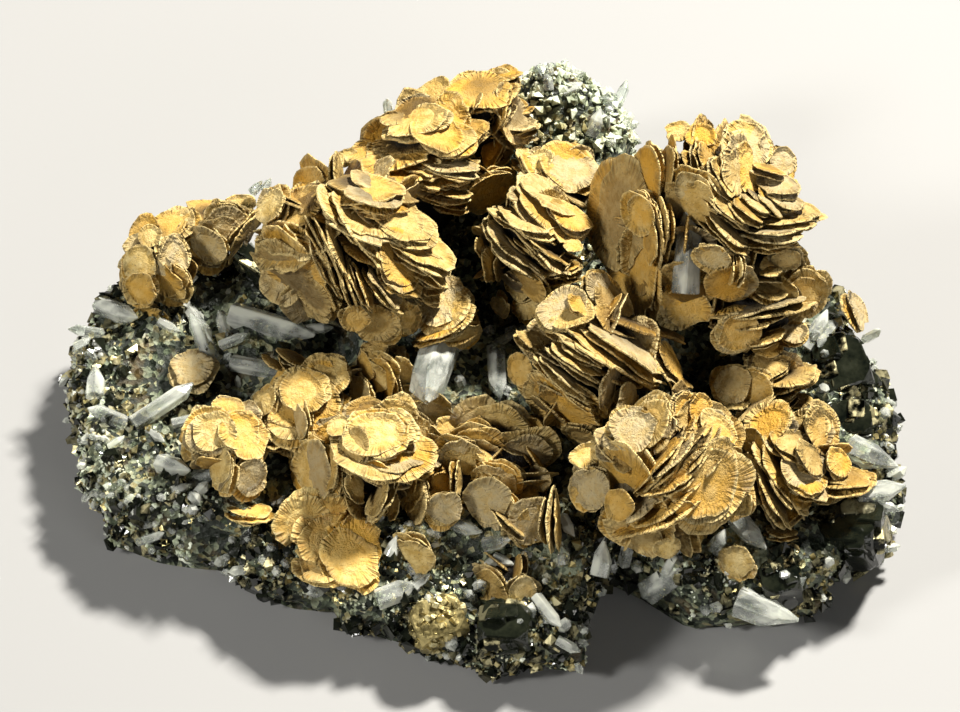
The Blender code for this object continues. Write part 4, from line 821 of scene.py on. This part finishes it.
def rock_material():
    """Grey-green grains with brassy and pale ones among them."""
    tree = Tree("matrix_grains", 0.6)
    place = tree.position()
    cell = tree.cells(place, 1150.0)
    split = tree.nodes.new("ShaderNodeSeparateColor")
    tree.links.new(cell, split.inputs[0])
    zones = tree.noise(place, 150.0, 5.0, 0.62)
    pick = tree.maths("ADD", tree.maths("MULTIPLY", split.outputs[0], 0.42), tree.maths("MULTIPLY", zones, 0.72))
    colour = tree.ramp(pick, (0.0, (0.004, 0.006, 0.004)), (0.53, (0.018, 0.024, 0.016)),
                       (0.6, (0.09, 0.11, 0.07)), (0.7, (0.24, 0.265, 0.175)), (0.78, (0.26, 0.22, 0.09)),
                       (0.88, (0.6, 0.63, 0.52)))
    stain_and_painted_shade = tree.noise(place, 260.0, 4.0)
    colour = tree.mix(tree.ramp(stain_and_painted_shade, (0.56, 0.0), (0.72, 0.6)), colour, (0.13, 0.085, 0.03))
    tree.set("Base Color", colour)
    tree.set("Metallic", tree.ramp(split.outputs[1], (0.7, 0.0), (0.74, 0.85)))
    tree.set("Roughness", tree.ramp(split.outputs[2], (0.0, 0.28), (1.0, 0.85)))
    height = tree.maths("ADD", tree.cells(place, 1150.0, "F1", "Distance"), tree.noise(place, 2600.0, 3.0))
    tree.bump(height, 0.9, 0.0005)
    return tree.material


def quartz_material():
    """Clear to milky: veils drawn out along each crystal, and fine lines across its sides."""
    tree = Tree("quartz_clear", 0.06, IOR=1.544)
    local = tree.attribute("local", "Vector")
    veil = tree.noise(tree.stretched(local, (1.0, 1.0, 0.3)), 0.55, 3.0, 0.5)
    lines = tree.noise(tree.stretched(local, (0.15, 0.15, 1.0)), 4.5, 3.0, 0.6)
    cloud = tree.noise(tree.position(), 260.0, 3.0)
    milky = tree.maths("ADD", tree.maths("MULTIPLY", veil, 0.6), tree.maths("MULTIPLY", cloud, 0.4))
    tree.set("Base Color", tree.ramp(milky, (0.36, (0.82, 0.9, 0.83)), (0.5, (0.92, 0.95, 0.88)),
                                     (0.64, (0.9, 0.92, 0.8))))
    tree.set("Transmission Weight", tree.ramp(milky, (0.4, 0.9), (0.5, 0.72), (0.6, 0.5)))
    tree.set("Roughness", tree.ramp(milky, (0.42, 0.02), (0.62, 0.12)))
    tree.bump(lines, 0.1, 0.0002)
    return tree.material


def pale_material():
    """Small clouded grains, greenish white with brown between them."""
    tree = Tree("quartz_clouded", 0.35)
    place = tree.position()
    patches = tree.noise(place, 420.0, 4.0, 0.6)
    zones = tree.noise(place, 130.0, 3.0)
    colour = tree.ramp(patches, (0.32, (0.14, 0.155, 0.08)), (0.48, (0.5, 0.56, 0.4)), (0.62, (0.86, 0.9, 0.76)))
    colour = tree.mix(tree.ramp(zones, (0.5, 0.0), (0.66, 0.7)), colour, (0.36, 0.28, 0.08))
    tree.set("Base Color", colour)
    tree.set("Roughness", tree.ramp(patches, (0.3, 0.6), (0.7, 0.2)))
    tree.bump(tree.noise(place, 1900.0, 3.0), 0.4, 0.0003)
    return tree.material


def crystal_material(name, dark, light, metallic, rough_low, rough_high, scale):
    """An opaque crystal: two colours in patches, polished and dull, with brassy films on some faces."""
    tree = Tree(name, rough_high)
    place = tree.position()
    tone = tree.attribute("tone", "Fac")
    tree.set("Metallic", tree.ramp(tone, (0.6, metallic), (0.7, max(0.85, metallic))))
    patches = tree.noise(place, scale, 5.0, 0.65)
    film = tree.maths("MULTIPLY", tree.ramp(tone, (0.6, 0.0), (0.75, 1.0)), tree.ramp(patches, (0.42, 0.0), (0.56, 1.0)))
    tree.set("Base Color", tree.mix(film, tree.ramp(patches, (0.35, dark), (0.66, light)), (0.62, 0.56, 0.32)))
    tree.set("Roughness", tree.mix(film, tree.ramp(patches, (0.3, rough_low), (0.7, rough_high)), (0.45, 0.45, 0.45)))
    tree.bump(tree.noise(place, 2.4 * scale, 3.0, 0.5), 0.25, 0.0003)
    return tree.material


# The matrix -------------------------------------------------------------------------------------

ROCK_SEGMENTS = 410
ROCK_TOP, ROCK_WALL = 52, 28
WALL_SHARES = ((0.93, 1.0),) + WALL_RINGS[:-1]


def rough_matrix(x, y, z):
    place = Vector((x, y, z))
    return (1.0 * noise.noise(place / 2.6) + 0.6 * noise.noise(place / 1.1 + Vector((5, 0, 0)))
            + 0.35 * abs(noise.noise(place / 0.55)))


def matrix_points():
    """The matrix's rings: over the top, down the wall, and in across the flat base."""
    rings = [(0.93 * ((ring + 1) / ROCK_TOP) ** 0.85, 1.0) for ring in range(ROCK_TOP)]
    for ring in range(1, ROCK_WALL + 1):
        step = ring / ROCK_WALL * (len(WALL_SHARES) - 1)
        low = min(int(step), len(WALL_SHARES) - 2)
        (share_a, level_a), (share_b, level_b) = WALL_SHARES[low], WALL_SHARES[low + 1]
        part = step - low
        rings.append((share_a + part * (share_b - share_a), level_a + part * (level_b - level_a)))
    rings.append((0.5, 0.0))
    points = []
    for share, level in rings:
        for index in range(ROCK_SEGMENTS):
            angle = index / ROCK_SEGMENTS * math.tau - math.pi
            radius = outline_radius(angle)
            x = OUTLINE_CENTRE[0] + share * radius * math.cos(angle)
            y = OUTLINE_CENTRE[1] + share * radius * math.sin(angle)
            z = level * matrix_top(x, y)
            if 0.0 < level < 1.0:
                push = 2.2 * noise.noise(Vector((x, y, z)) / 6.0)
                x += push * math.cos(angle)
                y += push * math.sin(angle)
            if level > 0.0:
                out = rough_matrix(x, y, z)
                side = min(1.0, max(0.0, (share - 0.9) / 0.08))
                x += side * out * math.cos(angle)
                y += side * out * math.sin(angle)
                z = max(0.05, z + (1.0 - side) * out)
            points.append((x, y + BASE_SHIFT, z))
    return np.array(points), len(rings)


def matrix_piece(material):
    grid, rings = matrix_points()
    count = ROCK_SEGMENTS
    x, y = OUTLINE_CENTRE
    ends = np.array([(x, y + BASE_SHIFT, matrix_top(x, y)), (x, y + BASE_SHIFT, 0.0)])
    here = np.arange(count)
    after = (here + 1) % count
    faces = []
    for ring in range(rings - 1):
        a, b = ring * count, (ring + 1) * count
        faces.append(np.stack([a + here, b + here, b + after, a + after], axis=1))
    total = rings * count
    faces.append(np.stack([0 * here + total, here, after, 0 * here + total], axis=1))
    last = total - count
    faces.append(np.stack([0 * here + total + 1, last + after, last + here, 0 * here + total + 1], axis=1))
    pile = Pile()
    pile.add(np.concatenate([grid, ends]), np.concatenate(faces))
    return pile.object("matrix_rock", material, sharp=50.0), grid.reshape(rings, count, 3)


# Grains and small crystals ----------------------------------------------------------------------

CUBE = (np.array([(x, y, z) for x in (-1, 1) for y in (-1, 1) for z in (-1, 1)], float),
        np.array([(0, 1, 3, 2), (4, 6, 7, 5), (0, 4, 5, 1), (2, 3, 7, 6), (0, 2, 6, 4), (1, 5, 7, 3)]))
OCTAHEDRON = (np.array([(1, 0, 0), (-1, 0, 0), (0, 1, 0), (0, -1, 0), (0, 0, 1), (0, 0, -1)], float),
              np.array([(0, 2, 4, 0), (2, 1, 4, 2), (1, 3, 4, 1), (3, 0, 4, 3),
                        (2, 0, 5, 2), (1, 2, 5, 1), (3, 1, 5, 3), (0, 3, 5, 0)]))


def little_prism():
    """A short six-sided crystal with a pointed end, along Z."""
    ring = [(math.cos(k * math.pi / 3), math.sin(k * math.pi / 3)) for k in range(6)]
    points = [(x, y, 0.0) for x, y in ring] + [(x, y, 2.2) for x, y in ring] + [(0.1, 0.05, 3.3), (0, 0, -0.6)]
    faces = []
    for k in range(6):
        after = (k + 1) % 6
        faces += [(k, after, 6 + after, 6 + k), (6 + k, 6 + after, 12, 6 + k), (after, k, 13, after)]
    return np.array(points, float), np.array(faces)


PRISM = little_prism()


def random_turn(draw):
    w, x, y, z = draw.normal(size=4) / 1.0
    size = math.sqrt(w * w + x * x + y * y + z * z)
    w, x, y, z = w / size, x / size, y / size, z / size
    return np.array(((1 - 2 * (y * y + z * z), 2 * (x * y - z * w), 2 * (x * z + y * w)),
                     (2 * (x * y + z * w), 1 - 2 * (x * x + z * z), 2 * (y * z - x * w)),
                     (2 * (x * z - y * w), 2 * (y * z + x * w), 1 - 2 * (x * x + y * y))))


def add_form(pile, form, place, size, turn, tone=0.5, uneven=None):
    corners = form[0] if uneven is None else form[0] * uneven
    pile.add((corners * size) @ turn.T + place, form[1], tones=tone)


def scatter(grid, count, seed, share_low=0.0):
    """Places on the matrix, top and wall, with the way that faces out there."""
    draw = np.random.default_rng(seed)
    rings, segments = grid.shape[:2]
    ring = np.sqrt(draw.uniform(share_low, 1.0, count)) * (rings - 5)
    ring = ring.astype(int)
    segment = draw.integers(0, segments, count)
    here, next_ring = grid[ring, segment], grid[ring + 2, segment]
    beside = grid[ring, (segment + 2) % segments]
    out = np.cross(next_ring - here, beside - here)
    out /= np.linalg.norm(out, axis=1)[:, None] + 1e-9
    return draw, here, out


def sit(place, margin):
    """Whether a grain of this size stays over the base."""
    return place[2] > margin


def add_grains(pile, grid, form, count, seed, sizes, share_low=0.0, within=None):
    draw, places, outs = scatter(grid, count, seed, share_low)
    for place, out in zip(places, outs):
        size = (sizes[0] + (sizes[1] - sizes[0]) * draw.uniform(0, 1) ** 2) * draw.uniform(0.6, 1.3, 3)
        if sit(place, 1.4 * size.max()) and (within is None or within(place)):
            uneven = draw.uniform(0.6, 1.25, form[0].shape)
            add_form(pile, form, place + 0.2 * size.mean() * out, size, random_turn(draw),
                     draw.uniform(0.2, 0.9), uneven)


def add_small_prisms(pile, grid, count, seed, sizes, share_low=0.0, within=None):
    draw, places, outs = scatter(grid, count, seed, share_low)
    for place, out in zip(places, outs):
        if within is not None and not within(place):
            continue
        width = draw.uniform(*sizes)
        axis = Vector(out + draw.normal(size=3) * 0.55).normalized()
        turn = np.array(axis.to_track_quat("Z", "Y").to_matrix())
        if sit(place, 4.2 * width):
            size = np.array((width, width, width * draw.uniform(0.6, 1.1)))
            add_form(pile, PRISM, place - 0.2 * width * out, size, turn)


# Quartz -----------------------------------------------------------------------------------------


def quartz_prism(name, rows, material):
    """Six-sided prisms of uneven sides, each with a tip of three large and three small faces."""
    whole = bmesh.new()
    whole.verts.layers.float_vector.new("local")
    for row in rows:
        width = row[6]
        foot, axis = prism_line(row)
        draw = np.random.default_rng(int(abs(row[0] * 31 + row[1] * 17) * 10))
        length, radius = axis.length, 0.5 * width
        shaft = max(length - TIP_SHARE * width, SHORTEST_SHAFT * length)
        bm = bmesh.new()
        bmesh.ops.create_cone(bm, cap_ends=True, segments=PRISM_SIDES, radius1=radius, radius2=0.96 * radius,
                              depth=shaft, matrix=Matrix.Translation((0.0, 0.0, 0.5 * shaft)))
        reach = {round(math.atan2(v.co.y, v.co.x) * 3 / math.pi) % 6: draw.uniform(0.84, 1.0)
                 for v in bm.verts}
        for vert in bm.verts:
            share = reach[round(math.atan2(vert.co.y, vert.co.x) * 3 / math.pi) % 6]
            vert.co.x *= share
            vert.co.y *= share
            if vert.co.z > 0.5 * shaft:
                vert.co.z += draw.uniform(-0.22, 0.16) * width
        end = max(bm.faces, key=lambda face: face.calc_center_median().z)
        point = bmesh.ops.poke(bm, faces=[end])["verts"][0]
        point.co = (TIP_OFFSET * width, 0.0, length)
        bmesh.ops.bevel(bm, geom=list(bm.edges), offset=0.035 * width, segments=1, affect="EDGES")
        local = bm.verts.layers.float_vector.new("local")
        for vert in bm.verts:
            vert[local] = vert.co + Vector((row[0], row[1], 0.0))
        turn = Matrix.Translation(foot) @ axis.to_track_quat("Z", "Y").to_matrix().to_4x4()
        bmesh.ops.transform(bm, matrix=turn, verts=bm.verts)
        bmesh.ops.recalc_face_normals(bm, faces=bm.faces)
        part = bpy.data.meshes.new("part")
        bm.to_mesh(part)
        bm.free()
        whole.from_mesh(part)
        bpy.data.meshes.remove(part)
    bmesh.ops.scale(whole, vec=(MM, MM, MM), verts=whole.verts)
    mesh = bpy.data.meshes.new(name)
    whole.to_mesh(mesh)
    whole.free()
    mesh.materials.append(material)
    obj = bpy.data.objects.new(name, mesh)
    bpy.context.scene.collection.objects.link(obj)
    return obj


# Sulphides --------------------------------------------------------------------------------------


def cut_block(width, depth, height, cut):
    bm = bmesh.new()
    bmesh.ops.create_cube(bm, size=1.0, matrix=Matrix.Diagonal((width, depth, height, 1.0)))
    bmesh.ops.bevel(bm, geom=list(bm.verts), offset=cut * min(width, depth, height), segments=1,
                    affect="VERTICES")
    bmesh.ops.bevel(bm, geom=list(bm.edges), offset=0.04 * min(width, depth, height), segments=1,
                    affect="EDGES")
    bmesh.ops.triangulate(bm, faces=bm.faces)
    points = np.array([vert.co for vert in bm.verts])
    faces = np.array([[vert.index for vert in face.verts] + [face.verts[0].index] for face in bm.faces])
    bm.free()
    return points, faces


def sulphide_piece(name, row, material, granular):
    """A parallel growth of stepped crystals inside one blocky form, or a lump of small cubes."""
    across, up, lift, width, depth, height, turn = row
    middle = seen_point(across, up, seat(across, up, lift)) + Vector((0.0, 0.3 * depth, -0.3 * height))
    place = Matrix.Translation(middle) @ Matrix.Rotation(math.radians(turn), 4, "Z")
    place = place @ Matrix.Rotation(math.radians(14), 4, "X") @ Matrix.Rotation(math.radians(-9), 4, "Y")
    draw = np.random.default_rng(len(name) * 100 + int(width * 10))
    pile = Pile()
    half = 0.5 * np.array((width, depth, height))
    core = cut_block(width * 0.9, depth * 0.9, height * 0.9, 0.3)
    pile.add(placed(place, core[0]), core[1], tones=0.4)
    count = 150 if granular else 26
    for _ in range(count):
        way = draw.normal(size=3)
        way /= np.linalg.norm(way)
        share = 0.88 if granular else 0.72
        spot = way * half * share / max(np.abs(way).max(), 0.8)
        size = draw.uniform(0.5, 1.3, 3) if granular else draw.uniform(0.22, 0.5) * 2 * half * draw.uniform(0.7, 1, 3)
        form = cut_block(*size, draw.uniform(0.12, 0.34))
        spin = random_turn(draw) if granular else np.array(Euler(draw.uniform(-0.3, 0.3, 3)).to_matrix())
        pile.add(placed(place, form[0] @ spin.T + spot), form[1], tones=draw.uniform(0.2, 0.9))
    obj = pile.object(name + "_crystals", material, smooth=False)
    return obj


# Building ---------------------------------------------------------------------------------------


siderite = siderite_material("siderite_tan", (0.56, 0.375, 0.1), (0.78, 0.62, 0.28), (0.17, 0.1, 0.028),
                             (0.57, 0.31, 0.035), Specular_IOR_Level=0.35)
golden = siderite_material("siderite_honey", (0.78, 0.5, 0.11), (0.92, 0.74, 0.3), (0.55, 0.28, 0.05),
                           (0.82, 0.46, 0.05), Specular_IOR_Level=0.6, Transmission_Weight=0.2)
rock = rock_material()
clouded = pale_material()
quartz = quartz_material()
sphalerite = crystal_material("sphalerite_dark", (0.002, 0.003, 0.002), (0.014, 0.016, 0.009), 0.0, 0.05, 0.2, 420.0)
pyrite = crystal_material("pyrite_brass", (0.16, 0.13, 0.05), (0.52, 0.43, 0.19), 0.85, 0.25, 0.5, 700.0)

for number, (node, names) in enumerate(SIDERITE_NODES.items()):
    pile = Pile()
    for index, group_name in enumerate(names):
        add_group(pile, GROUPS[group_name], 100 * number + 40 * index, node == "siderite_golden_shell")
    look, slot = (golden, "siderite_golden") if node == "siderite_golden_shell" else (siderite, "siderite")
    finish_piece(pile.object(node + "_lamellae", look), slot, node)

for number, (across, up, radius, lean, tilt, lift) in enumerate(SINGLES, 1):
    pile = Pile()
    add_bundle(pile, petal_frame(across, up, seat(across, up, lift), lean, tilt), radius, 7 * number, 0.75)
    node = f"siderite_disc_{number:02d}"
    finish_piece(pile.object(node + "_lamellae", siderite), "siderite", node)

for number, row in enumerate(QUARTZ, 1):
    node = f"quartz_{number:02d}"
    finish_piece(quartz_prism(node + "_prism", [row], quartz), "quartz", node)
finish_piece(quartz_prism("quartz_small", SMALL_QUARTZ, quartz), "quartz")

for name, row in SULPHIDES.items():
    brassy = name.startswith("pyrite")
    finish_piece(sulphide_piece(name, row, pyrite if brassy else sphalerite, brassy),
                 "pyrite" if brassy else "sphalerite", name)

matrix_obj, rock_grid = matrix_piece(rock)
finish_piece(matrix_obj, "matrix", "matrix")
dark_grains, brass_grains, quartz_grains, pale_grains = Pile(), Pile(), Pile(), Pile()


def back_tip(place):
    return place[1] - BASE_SHIFT > 20.0 and place[0] > 4.0


def left_rim(place):
    return place[0] < -40.0


def in_zone(place, seed, least):
    """Whether grains of one kind gather here."""
    return noise.noise(Vector(place) / 7.0 + Vector((seed, 0.0, 0.0))) > least


def dark_middle(place):
    return not back_tip(place) and not left_rim(place)


add_grains(dark_grains, rock_grid, OCTAHEDRON, 4200, 11, (0.3, 1.35), 0.0, lambda place: not back_tip(place) and in_zone(place, 3, -0.12))
add_grains(dark_grains, rock_grid, CUBE, 3000, 12, (0.2, 0.9), 0.3, lambda place: not back_tip(place) and in_zone(place, 3, -0.2))
add_grains(brass_grains, rock_grid, CUBE, 5000, 13, (0.12, 0.45), 0.2, lambda place: in_zone(place, 9, 0.05))
add_small_prisms(quartz_grains, rock_grid, 1300, 14, (0.25, 0.9), 0.0, lambda place: dark_middle(place) and in_zone(place, 5, 0.0))
add_small_prisms(quartz_grains, rock_grid, 1500, 15, (0.25, 0.75), 0.2, back_tip)
add_small_prisms(quartz_grains, rock_grid, 1500, 16, (0.2, 0.6), 0.5, left_rim)
add_grains(pale_grains, rock_grid, OCTAHEDRON, 24000, 17, (0.3, 1.0), 0.0, back_tip)
add_grains(pale_grains, rock_grid, OCTAHEDRON, 8000, 18, (0.15, 0.7), 0.5, left_rim)
add_grains(pale_grains, rock_grid, OCTAHEDRON, 9000, 19, (0.12, 0.5), 0.25, lambda place: in_zone(place, 7, 0.08))
finish_piece(dark_grains.object("grains_sphalerite", sphalerite, smooth=False), "sphalerite")
finish_piece(brass_grains.object("grains_pyrite", pyrite, smooth=False), "pyrite")
finish_piece(pale_grains.object("grains_clouded", clouded, smooth=False), "quartz")
finish_piece(quartz_grains.object("grains_quartz", quartz, smooth=False), "quartz")


def area_light(name, way, distance, size, power, colour):
    data = bpy.data.lights.new(name, "AREA")
    data.size, data.energy, data.color = size, power, colour
    obj = bpy.data.objects.new(name, data)
    way = Vector(way).normalized()
    obj.location = Vector((0.0, 0.012, 0.015)) + way * distance
    obj.rotation_mode = "QUATERNION"
    obj.rotation_quaternion = way.to_track_quat("Z", "Y")
    bpy.context.scene.collection.objects.link(obj)


def floor():
    mesh = bpy.data.meshes.new("floor")
    bm = bmesh.new()
    bmesh.ops.create_grid(bm, x_segments=4, y_segments=4, size=3.0)
    bm.to_mesh(mesh)
    bm.free()
    tree = Tree("floor_plain", 0.9)
    tree.set("Base Color", tree.ramp(tree.noise(tree.position(), 3.0), (0.3, 0.26), (0.7, 0.28)))
    mesh.materials.append(tree.material)
    obj = bpy.data.objects.new("floor", mesh)
    bpy.context.scene.collection.objects.link(obj)


floor()
area_light("key", (0.42, 0.42, 0.82), 0.9, 0.11, 27.5, (1.0, 0.96, 0.88))
area_light("fill", (-0.85, -0.4, 0.62), 1.1, 0.2, 9.0, (1.0, 0.98, 0.93))
area_light("front", (0.6, -0.9, 0.45), 1.2, 0.7, 3.2, (1.0, 0.98, 0.94))

world = bpy.data.worlds.new("studio")
world.use_nodes = True
world.node_tree.nodes["Background"].inputs["Color"].default_value = (0.94, 0.97, 0.97, 1.0)
world.node_tree.nodes["Background"].inputs["Strength"].default_value = 0.045
bpy.context.scene.world = world
bpy.context.scene.view_settings.view_transform = "Standard"

camera_data = bpy.data.cameras.new("camera")
camera_data.sensor_width = 36.0
camera_data.lens = 262.5
camera_data.clip_start = 0.01
camera = bpy.data.objects.new("camera", camera_data)
camera.location = Vector((0.0, BASE_SHIFT * MM, 0.0)) + TOWARD * EYE_DISTANCE * MM
camera.rotation_euler = (math.pi / 2.0 - SIGHT_ANGLE, 0.0, 0.0)
bpy.context.scene.collection.objects.link(camera)
bpy.context.scene.camera = camera
